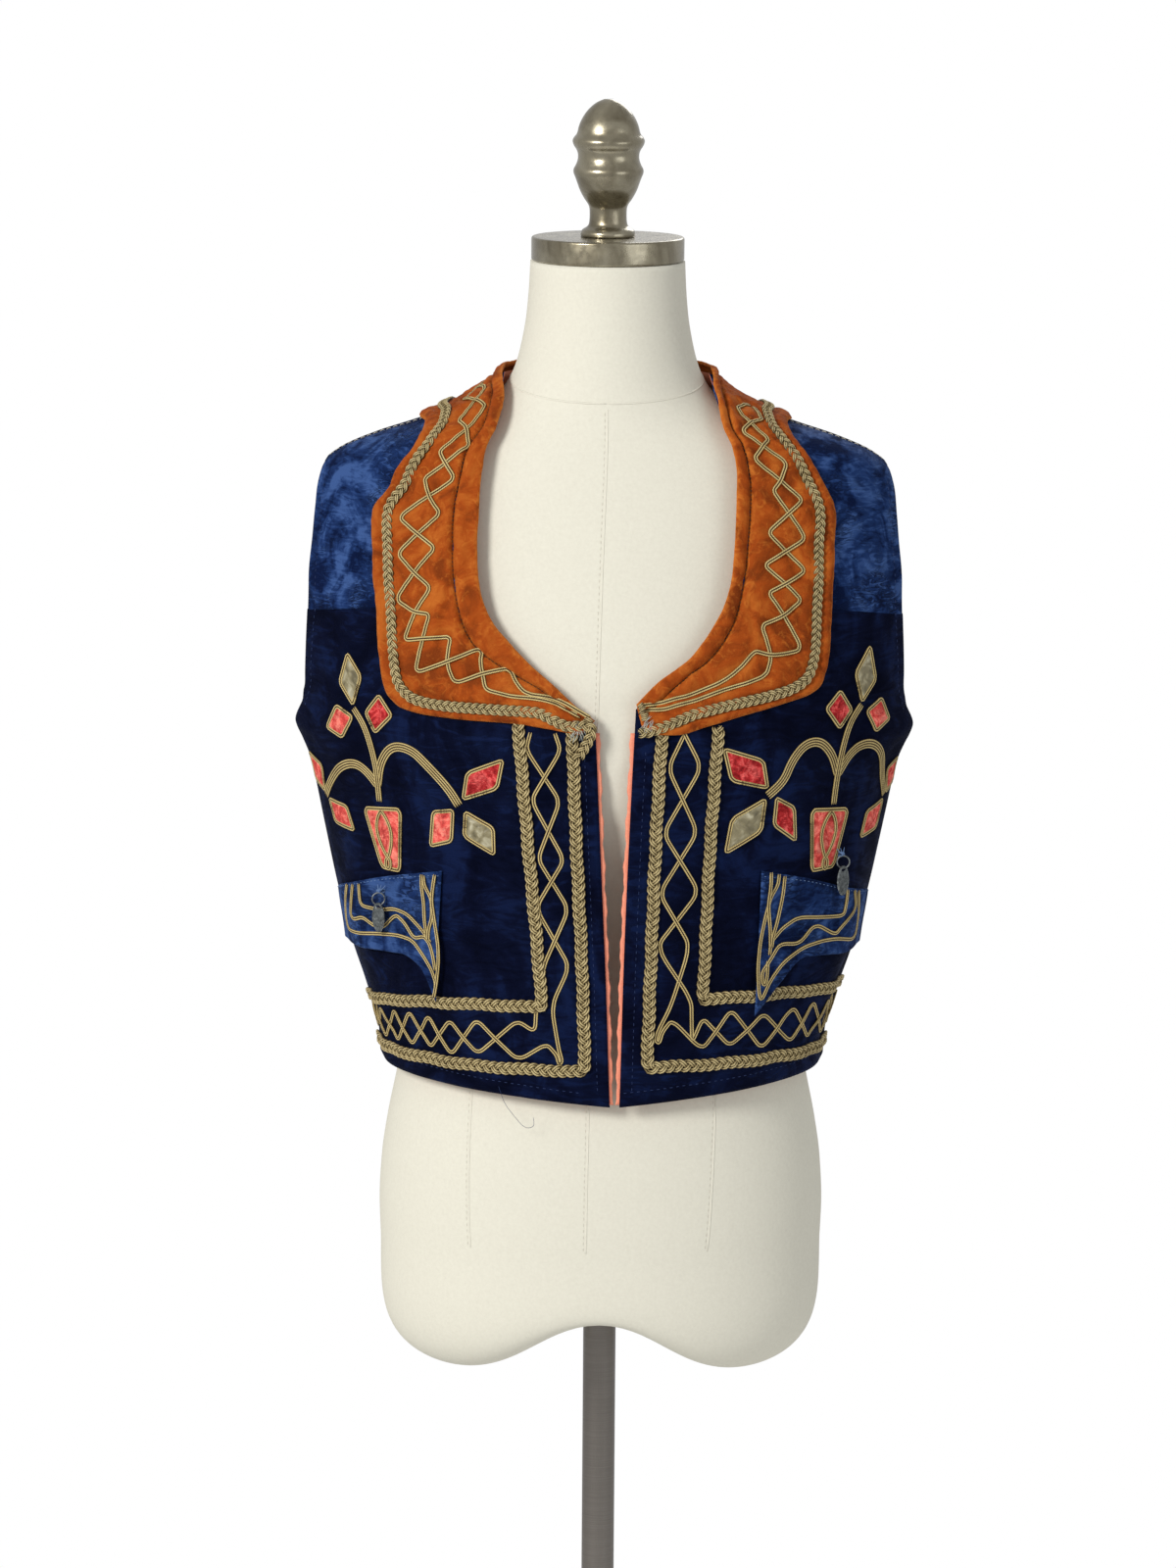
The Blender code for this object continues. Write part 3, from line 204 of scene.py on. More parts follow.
# Finial, turned: height, radius
FINIAL_PROFILE = (
    (1.5363, 0.0195),
    (1.539, 0.0198),
    (1.5412, 0.0185),
    (1.543, 0.015),
    (1.5455, 0.0134),
    (1.5555, 0.0132),
    (1.559, 0.0142),
    (1.563, 0.0172),
    (1.569, 0.0205),
    (1.5745, 0.0224),
    (1.5785, 0.0238),
    (1.5815, 0.0252),
    (1.5845, 0.0252),
    (1.5875, 0.0232),
    (1.5925, 0.0217),
    (1.5975, 0.0224),
    (1.601, 0.025),
    (1.6045, 0.0262),
    (1.607, 0.025),
    (1.6095, 0.0226),
    (1.615, 0.0216),
    (1.621, 0.019),
    (1.627, 0.0148),
    (1.632, 0.009),
    (1.6342, 0.0035),
)

# Folds of the cloth: side (-1 right, 1 left, 0 both), turn, height, half width, half height, lift
FOLDS = (
    (0, 0.97, 1.186, 0.026, 0.017, 0.0055),
    (-1, 0.86, 1.16, 0.022, 0.022, -0.0022),
    (1, 0.9, 1.158, 0.018, 0.016, -0.003),
    (0, 0.7, 1.205, 0.018, 0.06, -0.0014),
    (-1, 0.56, 1.0, 0.014, 0.06, -0.0016),
    (1, 0.6, 1.015, 0.014, 0.055, -0.0018),
    (0, 0.78, 1.03, 0.016, 0.07, 0.002),
    (0, 0.93, 1.01, 0.018, 0.08, -0.0024),
    (0, 0.3, 1.06, 0.02, 0.11, -0.001),
    (0, 1.16, 1.02, 0.02, 0.09, 0.0026),
    (0, 1.33, 1.0, 0.018, 0.1, -0.0022),
    (0, 1.58, 1.01, 0.02, 0.11, 0.002),
    (0, 1.82, 0.99, 0.022, 0.12, -0.0014),
    (0, 1.3, 1.24, 0.03, 0.05, 0.0016),
    (0, 0.62, 1.375, 0.03, 0.014, -0.0012),
)

# Each front's free edge: height, right front's distance from the centre, left front's
FRONT_EDGES = (
    (0.9, 0.0072, 0.0122),
    (0.923, 0.0062, 0.013),
    (1.018, 0.0026, 0.0151),
    (1.089, -0.0008, 0.0173),
    (1.16, -0.0042, 0.0201),
    (1.22, -0.007, 0.0228),
)

# Armhole, seen as a turn at each height: height, front side, back side
ARMHOLE = (
    (1.178, 1.02, 1.02),
    (1.184, 0.985, 1.06),
    (1.196, 0.945, 1.105),
    (1.218, 0.912, 1.145),
    (1.248, 0.892, 1.172),
    (1.28, 0.884, 1.18),
    (1.31, 0.888, 1.172),
    (1.34, 0.902, 1.145),
    (1.36, 0.925, 1.105),
    (1.372, 0.955, 1.05),
    (1.379, 1.0, 1.0),
)

# Collar from its front point round to the centre back
# inner edge: turn, height; outer edge: turn, height
COLLAR_RIGHT = (
    (0.023, 1.205, 0.058, 1.1945),
    (0.079, 1.2165, 0.141, 1.1983),
    (0.129, 1.229, 0.242, 1.2015),
    (0.179, 1.24, 0.346, 1.2022),
    (0.218, 1.2497, 0.449, 1.2035),
    (0.252, 1.259, 0.538, 1.2075),
    (0.284, 1.268, 0.587, 1.219),
    (0.313, 1.28, 0.608, 1.245),
    (0.333, 1.295, 0.623, 1.275),
    (0.35, 1.322, 0.651, 1.315),
    (0.358, 1.35, 0.672, 1.344),
    (0.374, 1.376, 0.64, 1.364),
    (0.44, 1.398, 0.648, 1.383),
    (0.58, 1.42, 0.73, 1.397),
    (0.78, 1.4345, 0.9, 1.404),
    (1.05, 1.442, 1.08, 1.404),
    (1.4, 1.442, 1.4, 1.396),
    (2.0, 1.438, 2.0, 1.385),
)
COLLAR_LEFT = (
    (0.081, 1.2165, 0.101, 1.195),
    (0.111, 1.225, 0.185, 1.1946),
    (0.143, 1.233, 0.261, 1.1996),
    (0.186, 1.241, 0.363, 1.2069),
    (0.22, 1.248, 0.47, 1.2138),
    (0.252, 1.258, 0.537, 1.2185),
    (0.282, 1.269, 0.58, 1.226),
    (0.31, 1.282, 0.603, 1.245),
    (0.333, 1.2985, 0.617, 1.2794),
    (0.356, 1.33, 0.641, 1.3206),
    (0.372, 1.356, 0.663, 1.348),
    (0.401, 1.38, 0.65, 1.369),
    (0.48, 1.401, 0.668, 1.386),
    (0.64, 1.4205, 0.75, 1.398),
    (0.82, 1.4345, 0.91, 1.4045),
    (1.05, 1.442, 1.08, 1.404),
    (1.4, 1.442, 1.4, 1.396),
    (2.0, 1.438, 2.0, 1.385),
)

# Braids down each front and along the hem, by distance in from the free edge and by height
# side, from the edge (top), from the edge (foot), hem height, hem height at the side seam, top
BRAIDS = {
    "outer_right": (-1, 0.0167, 0.0167, 0.9505, 0.949, 1.1915),
    "inner_right": (-1, 0.0553, 0.0463, 0.9965, 0.98, 1.1985),
    "outer_left": (1, 0.019, 0.019, 0.9535, 0.9505, 1.1915),
    "inner_left": (1, 0.0597, 0.0583, 1.002, 0.993, 1.1925),
}
HEM_BRAID_END = 0.99

# Pocket flaps: distance from the centre front and height along each edge
# top from inside to outside, then the foot from the tail to the outside
FLAP_TOPS = {
    -1: ((0.1181, 1.0917), (0.1619, 1.0834), (0.205, 1.0725), (0.233, 1.065)),
    1: ((0.116, 1.0937), (0.1524, 1.0854), (0.1988, 1.0721), (0.235, 1.065)),
}
FLAP_FEET = {
    -1: ((0.1235, 0.9941), (0.1375, 1.0193), (0.1535, 1.027), (0.1878, 1.0262), (0.24, 1.024)),
    1: ((0.112, 0.987), (0.1345, 1.0108), (0.1562, 1.0262), (0.2073, 1.024), (0.241, 1.0235)),
}

# Small creases: side (0 both), from turn, height, to turn, height, half width, lift
CREASES = (
    (0, 0.84, 1.295, 0.6, 1.288, 0.006, -0.0012),
    (0, 0.86, 1.325, 0.7, 1.338, 0.0055, -0.0011),
    (-1, 0.88, 1.275, 0.72, 1.262, 0.005, -0.0009),
    (1, 0.84, 1.278, 0.66, 1.3, 0.006, -0.0011),
    (0, 0.74, 1.372, 0.88, 1.352, 0.005, -0.001),
    (0, 0.66, 1.36, 0.8, 1.31, 0.006, 0.0008),
    (-1, 0.92, 1.208, 0.8, 1.226, 0.006, -0.0012),
    (1, 0.93, 1.206, 0.82, 1.232, 0.0055, -0.0011),
    (0, 0.99, 1.176, 0.88, 1.172, 0.005, -0.0016),
    (0, 1.0, 1.196, 0.9, 1.203, 0.0045, -0.0013),
    (-1, 0.72, 1.196, 0.66, 1.168, 0.005, -0.0009),
    (1, 0.76, 1.21, 0.7, 1.176, 0.005, -0.0009),
    (0, 0.52, 1.214, 0.5, 1.15, 0.006, -0.0008),
    (0, 0.3, 1.14, 0.33, 1.04, 0.008, -0.0009),
    (-1, 0.4, 1.055, 0.36, 0.99, 0.007, -0.001),
    (1, 0.38, 1.08, 0.36, 1.01, 0.007, -0.001),
    (0, 0.62, 0.985, 0.58, 0.945, 0.006, -0.0012),
    (0, 0.74, 0.99, 0.78, 0.94, 0.007, -0.0014),
    (0, 0.88, 1.01, 0.91, 0.942, 0.007, -0.0014),
    (0, 0.22, 0.965, 0.27, 0.928, 0.006, -0.0008),
    (0, 1.1, 1.18, 1.26, 1.15, 0.007, -0.0014),
    (0, 1.16, 1.215, 1.34, 1.205, 0.006, -0.0011),
    (0, 1.22, 1.29, 1.44, 1.272, 0.007, -0.0012),
    (0, 1.2, 1.345, 1.4, 1.352, 0.006, -0.001),
    (0, 1.16, 1.08, 1.22, 0.96, 0.009, -0.0016),
    (0, 1.4, 1.07, 1.44, 0.95, 0.009, 0.0014),
    (0, 1.62, 1.09, 1.6, 0.96, 0.01, -0.0015),
    (0, 1.86, 1.06, 1.83, 0.945, 0.009, 0.0012),
    (0, 1.5, 1.2, 1.66, 1.14, 0.008, -0.001),
)

# Creases of the collar: side, from distance along and share across, to the same, half width, lift
COLLAR_CREASES = (
    (-1, 0.176, 0.21, 0.112, 0.52, 0.0028, -0.0013),
    (-1, 0.181, 0.25, 0.116, 0.6, 0.0022, 0.001),
    (-1, 0.134, 0.2, 0.128, 0.46, 0.0026, -0.001),
    (-1, 0.216, 0.8, 0.214, 0.97, 0.0022, -0.0009),
    (-1, 0.147, 0.86, 0.14, 0.98, 0.0022, -0.001),
    (-1, 0.104, 0.8, 0.101, 0.98, 0.002, -0.0009),
    (-1, 0.248, 0.3, 0.236, 0.56, 0.0028, -0.0009),
    (-1, 0.286, 0.34, 0.27, 0.62, 0.0026, -0.0009),
    (1, 0.172, 0.04, 0.16, 0.15, 0.0018, 0.0009),
    (1, 0.152, 0.16, 0.097, 0.42, 0.0022, 0.0011),
    (1, 0.158, 0.13, 0.104, 0.34, 0.0024, -0.0013),
    (1, 0.128, 0.16, 0.122, 0.36, 0.0022, -0.001),
    (1, 0.205, 0.3, 0.196, 0.58, 0.0026, -0.0009),
    (1, 0.246, 0.26, 0.236, 0.52, 0.0026, -0.0009),
    (1, 0.118, 0.84, 0.11, 0.98, 0.002, -0.0009),
    (1, 0.286, 0.28, 0.276, 0.6, 0.0026, -0.0009),
    (0, 0.4, 0.25, 0.405, 0.6, 0.003, -0.001),
    (0, 0.455, 0.3, 0.452, 0.66, 0.0032, -0.001),
    (0, 0.51, 0.24, 0.515, 0.58, 0.003, -0.001),
)

# Lattice on each collar: distance along from the front point, share across at its inner and outer corners,
# how much farther along the inner corner lies
COLLAR_LATTICE = {
    -1: (
        (0.079, 0.16, 0.5, 0.004),
        (0.104, 0.18, 0.55, 0.014),
        (0.125, 0.34, 0.7, 0.012),
        (0.147, 0.48, 0.74, 0.011),
        (0.169, 0.44, 0.78, 0.004),
        (0.198, 0.38, 0.74, 0.003),
        (0.223, 0.34, 0.73, 0.002),
        (0.25, 0.28, 0.62, -0.003),
        (0.271, 0.22, 0.56, 0.0),
        (0.302, 0.28, 0.62, 0.006),
        (0.334, 0.32, 0.62, 0.004),
    ),
    1: (
        (0.097, 0.36, 0.59, 0.012),
        (0.121, 0.34, 0.73, 0.004),
        (0.149, 0.35, 0.68, 0.0),
        (0.169, 0.29, 0.7, 0.0),
        (0.192, 0.31, 0.69, 0.002),
        (0.221, 0.37, 0.67, 0.004),
        (0.245, 0.22, 0.62, -0.002),
        (0.264, 0.25, 0.58, 0.0),
        (0.288, 0.34, 0.68, 0.002),
    ),
}
# Its two cords' ends at the front point and at the shoulder: distance along, share across
LATTICE_FRONT_ENDS = {
    -1: (((0.004, 0.02), (0.028, 0.12), (0.052, 0.36)), ((0.01, 0.2), (0.032, 0.26), (0.058, 0.47))),
    1: (
        ((0.002, 0.1), (0.018, 0.29), (0.04, 0.41), (0.062, 0.42)),
        ((0.002, 0.24), (0.018, 0.42), (0.04, 0.52), (0.066, 0.53)),
    ),
}
LATTICE_SHOULDER_ENDS = {
    -1: (((0.356, 0.5),), ((0.36, 0.4),)),
    1: (((0.303, 0.56), (0.303, 0.6)), ((0.303, 0.66), (0.303, 0.62))),
}
# The seam between band and collar: share of the collar's length, share across
BAND_SHARES = {
    -1: ((0.0, 0.3), (0.1, 0.19), (0.3, 0.23), (1.0, 0.235)),
    1: ((0.0, 0.34), (0.12, 0.15), (0.3, 0.12), (1.0, 0.235)),
}
# Relief across the collar, by distance from its outer edge and from the band's seam: where, half width, lift
EDGE_RELIEF = ((0.0048, 0.003, 0.0011), (0.0088, 0.0011, -0.0009), (0.0186, 0.0012, -0.0008))
SEAM_RELIEF = ((0.0, 0.0018, -0.0022), (-0.0068, 0.0042, 0.0014))
# Relief round the couched cords, by distance from them
CORD_RELIEF = ((0.0, 0.0028, -0.001), (0.0085, 0.0045, 0.0012))

# Lattice down each front: height, distance from the free edge at its near and far corners
FRONT_LATTICE = {
    -1: (
        (1.1835, 0.0252, 0.0502),
        (1.147, 0.0272, 0.048),
        (1.1045, 0.026, 0.045),
        (1.069, 0.0242, 0.048),
        (1.027, 0.0254, 0.044),
    ),
    1: (
        (1.195, 0.0355, 0.0356),
        (1.171, 0.025, 0.0494),
        (1.124, 0.024, 0.049),
        (1.0805, 0.0232, 0.0525),
        (1.0413, 0.0226, 0.0475),
    ),
}
# Where its cords turn the corner into the hem: (distance from the free edge, height) for each cord
CORNER_TURNS = {
    -1: (
        (
            (0.0395, 0.998), (0.0352, 0.966), (0.033, 0.9575), (0.0352, 0.9545), (0.0368, 0.962),
            (0.044, 0.97),
        ),
        ((0.0505, 0.996), (0.052, 0.978)),
    ),
    1: (
        ((0.05, 1.002), (0.0508, 0.983), (0.0515, 0.97)),
        (
            (0.035, 0.998), (0.0262, 0.98), (0.0244, 0.973), (0.027, 0.9705), (0.0292, 0.979),
            (0.036, 0.988),
        ),
    ),
}
# Lattice along the hem: distance from the free edge, height at its lower and upper corners
HEM_LATTICE = {
    -1: (
        (0.065, 0.956, 0.9858),
        (0.096, 0.9585, 0.9845),
        (0.118, 0.955, 0.9815),
        (0.138, 0.9575, 0.982),
        (0.1555, 0.957, 0.983),
        (0.173, 0.9568, 0.9815),
        (0.192, 0.956, 0.98),
        (0.211, 0.9562, 0.9795),
        (0.23, 0.9558, 0.978),
        (0.248, 0.956, 0.977),
    ),
    1: (
        (0.059, 0.964, 0.988),
        (0.0805, 0.9655, 0.993),
        (0.1075, 0.9605, 0.9875),
        (0.136, 0.9615, 0.9885),
        (0.157, 0.961, 0.99),
        (0.179, 0.96, 0.988),
        (0.199, 0.9595, 0.987),
        (0.22, 0.959, 0.9865),
        (0.24, 0.9585, 0.986),
    ),
}
HEM_LATTICE_END = 0.259

# Leaves and petals: side, root and tip (distance from the centre front, height), then on each side of
# that line the half width and the share along at which it lies, cloth
PETALS = {
    "leaf_top_right": (-1, 0.1928, 1.2035, 0.196, 1.2405, 0.0085, 0.6, 0.0086, 0.48, "satin_olive"),
    "bud_out_right": (-1, 0.193, 1.197, 0.2195, 1.1865, 0.0096, 0.44, 0.0092, 0.6, "velvet_coral"),
    "bud_in_right": (-1, 0.182, 1.2012, 0.1585, 1.201, 0.0112, 0.4, 0.0112, 0.58, "velvet_red"),
    "petal_in_right": (-1, 0.103, 1.1435, 0.0735, 1.174, 0.0094, 0.62, 0.0092, 0.42, "velvet_red"),
    "leaf_in_right": (-1, 0.101, 1.1375, 0.0798, 1.1068, 0.009, 0.42, 0.0088, 0.6, "satin_olive"),
    "petal_low_right": (-1, 0.1085, 1.1375, 0.1268, 1.11, 0.0098, 0.36, 0.0092, 0.64, "velvet_coral"),
    "petal_out_right": (-1, 0.234, 1.135, 0.2565, 1.161, 0.0082, 0.5, 0.0082, 0.55, "velvet_coral"),
    "petal_side_right": (-1, 0.229, 1.1325, 0.1985, 1.113, 0.0082, 0.45, 0.0086, 0.62, "velvet_coral"),
    "leaf_top_left": (1, 0.1985, 1.208, 0.203, 1.248, 0.008, 0.55, 0.0084, 0.45, "satin_olive"),
    "bud_in_left": (1, 0.1905, 1.205, 0.1665, 1.2075, 0.011, 0.44, 0.0108, 0.6, "velvet_red"),
    "bud_out_left": (1, 0.2035, 1.2025, 0.2275, 1.195, 0.01, 0.44, 0.0096, 0.6, "velvet_coral"),
    "petal_in_left": (1, 0.121, 1.1525, 0.0878, 1.1825, 0.0108, 0.6, 0.01, 0.4, "velvet_red"),
    "petal_low_left": (1, 0.1262, 1.1475, 0.143, 1.1145, 0.0078, 0.42, 0.0084, 0.5, "velvet_red"),
    "leaf_in_left": (1, 0.1195, 1.1475, 0.09, 1.1095, 0.0098, 0.46, 0.0096, 0.58, "satin_olive"),
    "petal_out_left": (1, 0.241, 1.136, 0.259, 1.16, 0.008, 0.5, 0.008, 0.55, "velvet_coral"),
    "petal_side_left": (1, 0.237, 1.1345, 0.2085, 1.11, 0.0096, 0.52, 0.0086, 0.62, "velvet_coral"),
}
# Flower pots: side, top and foot (distance from the centre front, height), half width at top and foot
POTS = {
    "pot_right": (-1, 0.169, 1.1335, 0.162, 1.0865, 0.018, 0.009),
    "pot_left": (1, 0.174, 1.135, 0.169, 1.0885, 0.0184, 0.011),
}
# Stems and arching stalks: side, strands, points (distance from the centre front, height)
STALKS = (
    (
        -1, 3,
        ((0.1706, 1.137), (0.1716, 1.15), (0.1735, 1.168), (0.1818, 1.191), (0.1925, 1.203)),
    ),
    (
        -1, 4,
        (
            (0.1718, 1.149), (0.1688, 1.166), (0.159, 1.179), (0.145, 1.179), (0.131, 1.169),
            (0.113, 1.152), (0.105, 1.14),
        ),
    ),
    (
        -1, 4,
        ((0.1722, 1.149), (0.183, 1.159), (0.195, 1.163), (0.21, 1.158), (0.225, 1.145), (0.234, 1.133)),
    ),
    (
        1, 3,
        ((0.1762, 1.137), (0.178, 1.156), (0.1812, 1.175), (0.188, 1.196), (0.1985, 1.208)),
    ),
    (
        1, 4,
        (
            (0.1785, 1.159), (0.173, 1.174), (0.162, 1.185), (0.149, 1.184), (0.139, 1.172),
            (0.133, 1.158), (0.12, 1.148),
        ),
    ),
    (
        1, 4,
        ((0.179, 1.159), (0.19, 1.174), (0.206, 1.18), (0.221, 1.174), (0.231, 1.156), (0.238, 1.136)),
    ),
)
# Cords on the pocket flaps: side, points (distance from the centre front, height)
FLAP_CORDS = {
    -1: (
        (
            (0.207, 1.071), (0.2115, 1.059), (0.2145, 1.044), (0.2115, 1.0365), (0.193, 1.0372),
            (0.1737, 1.0395), (0.1548, 1.041), (0.142, 1.0386), (0.1325, 1.0277), (0.1256, 1.0183),
            (0.122, 1.0088), (0.1238, 0.9993),
        ),
        (
            (0.1985, 1.0725), (0.201, 1.06), (0.203, 1.049), (0.1985, 1.0465), (0.188, 1.05),
            (0.177, 1.045), (0.168, 1.0445), (0.1557, 1.0562), (0.1483, 1.0508), (0.1405, 1.04),
            (0.1316, 1.0426), (0.1269, 1.0372), (0.1244, 1.0291), (0.1224, 1.0183),
        ),
        (
            (0.1915, 1.074), (0.1903, 1.061), (0.187, 1.058), (0.171, 1.0575), (0.157, 1.0602),
            (0.1457, 1.0575), (0.1328, 1.0467), (0.1262, 1.0386),
        ),
        ((0.1334, 1.088), (0.1334, 1.0792), (0.1315, 1.067), (0.1311, 1.0548), (0.129, 1.041)),
        (
            (0.1318, 1.0875), (0.131, 1.0805), (0.125, 1.0711), (0.1246, 1.0575), (0.1275, 1.048),
            (0.128, 1.04),
        ),
        (
            (0.1224, 1.089), (0.124, 1.0792), (0.1249, 1.0697), (0.123, 1.0575), (0.1194, 1.0372),
            (0.1192, 1.0237), (0.1212, 1.0088), (0.1236, 0.9985),
        ),
    ),
    1: (
        (
            (0.2075, 1.069), (0.2105, 1.052), (0.21, 1.0365), (0.2034, 1.0335), (0.1841, 1.0372),
            (0.1684, 1.0372), (0.1531, 1.0345), (0.1338, 1.025), (0.1233, 1.0129), (0.1164, 0.9985),
            (0.1142, 1.0047), (0.1132, 1.0237), (0.1149, 1.0426), (0.1191, 1.0616), (0.1227, 1.0738),
            (0.1287, 1.0832), (0.1294, 1.0905),
        ),
        (
            (0.201, 1.0705), (0.2045, 1.057), (0.1869, 1.0453), (0.1812, 1.0402), (0.1617, 1.0508),
            (0.1485, 1.0372), (0.1305, 1.0395), (0.1226, 1.0277), (0.1163, 1.0196), (0.1173, 1.0104),
            (0.1195, 1.0104), (0.1206, 1.0169), (0.121, 1.0277),
        ),
        (
            (0.1925, 1.0724), (0.1915, 1.0629), (0.1889, 1.0535), (0.1698, 1.0548), (0.1457, 1.0572),
            (0.1324, 1.0508), (0.1231, 1.0413), (0.1222, 1.0318),
        ),
        ((0.1227, 1.0925), (0.1225, 1.0819), (0.1205, 1.0683), (0.1223, 1.0508), (0.1227, 1.0372)),
        ((0.1336, 1.089), (0.1322, 1.0751), (0.1279, 1.0562), (0.1244, 1.0453), (0.1236, 1.0372)),
    ),
}

# The form's seams: height, then how far each lies to the side of the centre front as a share of the half
# width: centre, right princess seam, left princess seam
FORM_SEAMS = (
    (0.74, -0.065, -0.56, 0.45),
    (0.86, -0.06, -0.59, 0.5),
    (0.96, -0.055, -0.64, 0.58),
    (1.04, -0.045, -0.68, 0.64),
    (1.18, -0.03, -0.56, 0.54),
    (1.3, -0.012, -0.5, 0.5),
    (1.416, 0.01, -0.56, 0.58),
)
NECK_SEAM_FRONT, NECK_SEAM_BACK = 1.4225, 1.448

# Finish of each cloth: darkest (painted shade), usual and brightest (painted sheen) colour, size of its
# patches of light and dark per metre
CLOTHS = {
    "velvet_navy": ((0.0003, 0.0008, 0.006), (0.0005, 0.0018, 0.013), (0.0018, 0.0068, 0.036), 15.0),
    "velvet_blue": ((0.0008, 0.004, 0.026), (0.0085, 0.026, 0.1), (0.033, 0.074, 0.21), 30.0),
    "velvet_orange": ((0.13, 0.017, 0.0014), (0.265, 0.041, 0.0034), (0.5, 0.15, 0.021), 34.0),
    "velvet_coral": ((0.43, 0.03, 0.03), (0.74, 0.1, 0.082), (0.93, 0.27, 0.205), 130.0),
    "velvet_red": ((0.2, 0.006, 0.008), (0.47, 0.024, 0.027), (0.8, 0.125, 0.115), 130.0),
}
# Fineness of the pile's nap
GRAIN = 2600.0

# How the collar's braid ends at each front point: distance from the centre front, height
BRAID_TIP_START = 0.034
BRAID_TIPS = {
    -1: (
        (0.0175, 1.1795), (0.014, 1.185), (0.0098, 1.1925), (0.0082, 1.1985), (0.0105, 1.2015),
        (0.0175, 1.2015), (0.025, 1.1995),
    ),
    1: ((0.024, 1.1968), (0.028, 1.1968), (0.033, 1.1972)),
}
TIP_RISE = {-1: 0.0012, 1: 0.0}
# How far the front braids run up under the collar
BRAID_TUCK = 0.0075
# How much wider and longer the petals are than their table says, which is to the middle of their cords
PETAL_SPREAD, PETAL_STRETCH = 1.36, 0.09
# How far the front lattices run up towards the collar past their first widest place
LATTICE_TUCK = 0.012

# Rows of stitches: stitch, gap, radius, thread, slot
STITCHES = {
    "edge_stitches": (0.0026, 0.0022, 0.00022, "thread_navy", "velvet_navy"),
    "flap_stitches": (0.002, 0.0018, 0.00025, "thread_pale_blue", "velvet_blue"),
    "shoulder_stitches": (0.0034, 0.0016, 0.00028, "thread_cream", "velvet_blue"),
    "band_stitches": (0.0017, 0.0013, 0.00022, "thread_dark", "velvet_orange"),
}
# Frayed threads at each front point: side, threads, distance along the collar, reach
FRAYS = ((-1, 26, 0.008, 0.013), (1, 16, 0.006, 0.008))
HEM_THREAD = (
    (0.004, -0.002, -0.012), (0.012, -0.003, -0.022), (0.019, -0.004, -0.03), (0.026, -0.003, -0.029),
    (0.025, -0.002, -0.022),
)
# Scrolls on a charm's plate: across, up, size, turns, hand
SCROLLS = (
    (0.0018, -0.001, 0.0021, 1.4, 1),
    (-0.0018, -0.0022, 0.0021, 1.4, -1),
    (0.0012, -0.0062, 0.0017, 1.3, -1),
    (-0.0014, 0.0022, 0.0016, 1.3, 1),
    (0.0016, 0.0034, 0.0013, 1.2, -1),
)

# ---- lines and surfaces ----


def smooth_curve(x, xs, ys):
    """A curve through the points with no overshoot between them."""
    xs = np.asarray(xs, float)
    ys = np.asarray(ys, float)
    steps = np.diff(xs)
    rises = np.diff(ys) / steps
    slopes = np.zeros_like(ys)
    both = rises[:-1] + rises[1:]
    same = rises[:-1] * rises[1:] > 0
    slopes[1:-1] = np.where(same, 2 * rises[:-1] * rises[1:] / np.where(same, both, 1.0), 0.0)
    slopes[0] = rises[0]
    slopes[-1] = rises[-1]
    x = np.clip(np.asarray(x, float), xs[0], xs[-1])
    i = np.clip(np.searchsorted(xs, x) - 1, 0, len(xs) - 2)
    h = steps[i]
    t = (x - xs[i]) / h
    first = (2 * t**3 - 3 * t**2 + 1) * ys[i] + (t**3 - 2 * t**2 + t) * h * slopes[i]
    second = (3 * t**2 - 2 * t**3) * ys[i + 1] + (t**3 - t**2) * h * slopes[i + 1]
    return first + second


def ring_sizes(rings, height):
    """Half width, front depth, back depth and squareness at a height."""
    table = np.array(rings)
    return [float(smooth_curve(height, table[:, 0], table[:, k])) for k in range(1, 5)]


def ring_points(sizes, angles, height):
    """Points of a rounded ring, by angles from the front."""
    half_width, front, back, square = sizes
    sines = np.sin(angles)
    cosines = np.cos(angles)
    x = half_width * np.sign(sines) * np.abs(sines) ** (2 / square)
    y = np.where(cosines > 0, -front, back) * np.abs(cosines) ** (2 / square)
    return np.stack(np.broadcast_arrays(x, y, height), axis=-1)


def lengths_along(points):
    """How far along a line each of its points lies."""
    return np.concatenate([[0.0], np.cumsum(np.linalg.norm(np.diff(points, axis=0), axis=1))])


def sample(at, known, values):
    """Rows of values read off between the known places."""
    return np.stack([np.interp(at, known, column) for column in values.T], axis=1)


def quarter_points(points):
    """Evenly spaced points of one quarter of a ring, and its length."""
    lengths = lengths_along(points)
    return sample(np.linspace(0.0, lengths[-1], TURN_STEPS + 1), lengths, points), lengths[-1]


def body_table():
    """The vest's face on a fine grid: rows by height, columns by turn from 0 (front) to 2 (back)."""
    heights = np.arange(VEST_RINGS[0][0], VEST_RINGS[-1][0] + 1e-9, HEIGHT_STEP)
    angles = np.linspace(0.0, math.pi, 1601)
    grid = np.zeros((len(heights), 2 * TURN_STEPS + 1, 3))
    quarters = np.zeros(len(heights))
    for row, height in enumerate(heights):
        ring = ring_points(ring_sizes(VEST_RINGS, height), angles, height)
        front, quarters[row] = quarter_points(ring[:801])
        back, _ = quarter_points(ring[800:])
        grid[row] = np.concatenate([front, back[1:]])
    return heights, grid, quarters


HEIGHTS, FACE, QUARTERS = body_table()


def quarter_at(height):
    """Length of a quarter of the way round at a height."""
    return np.interp(height, HEIGHTS, QUARTERS)


def turn_of(distance, height):
    """The turn that lies this far round from the centre front."""
    return np.asarray(distance, float) / quarter_at(height)


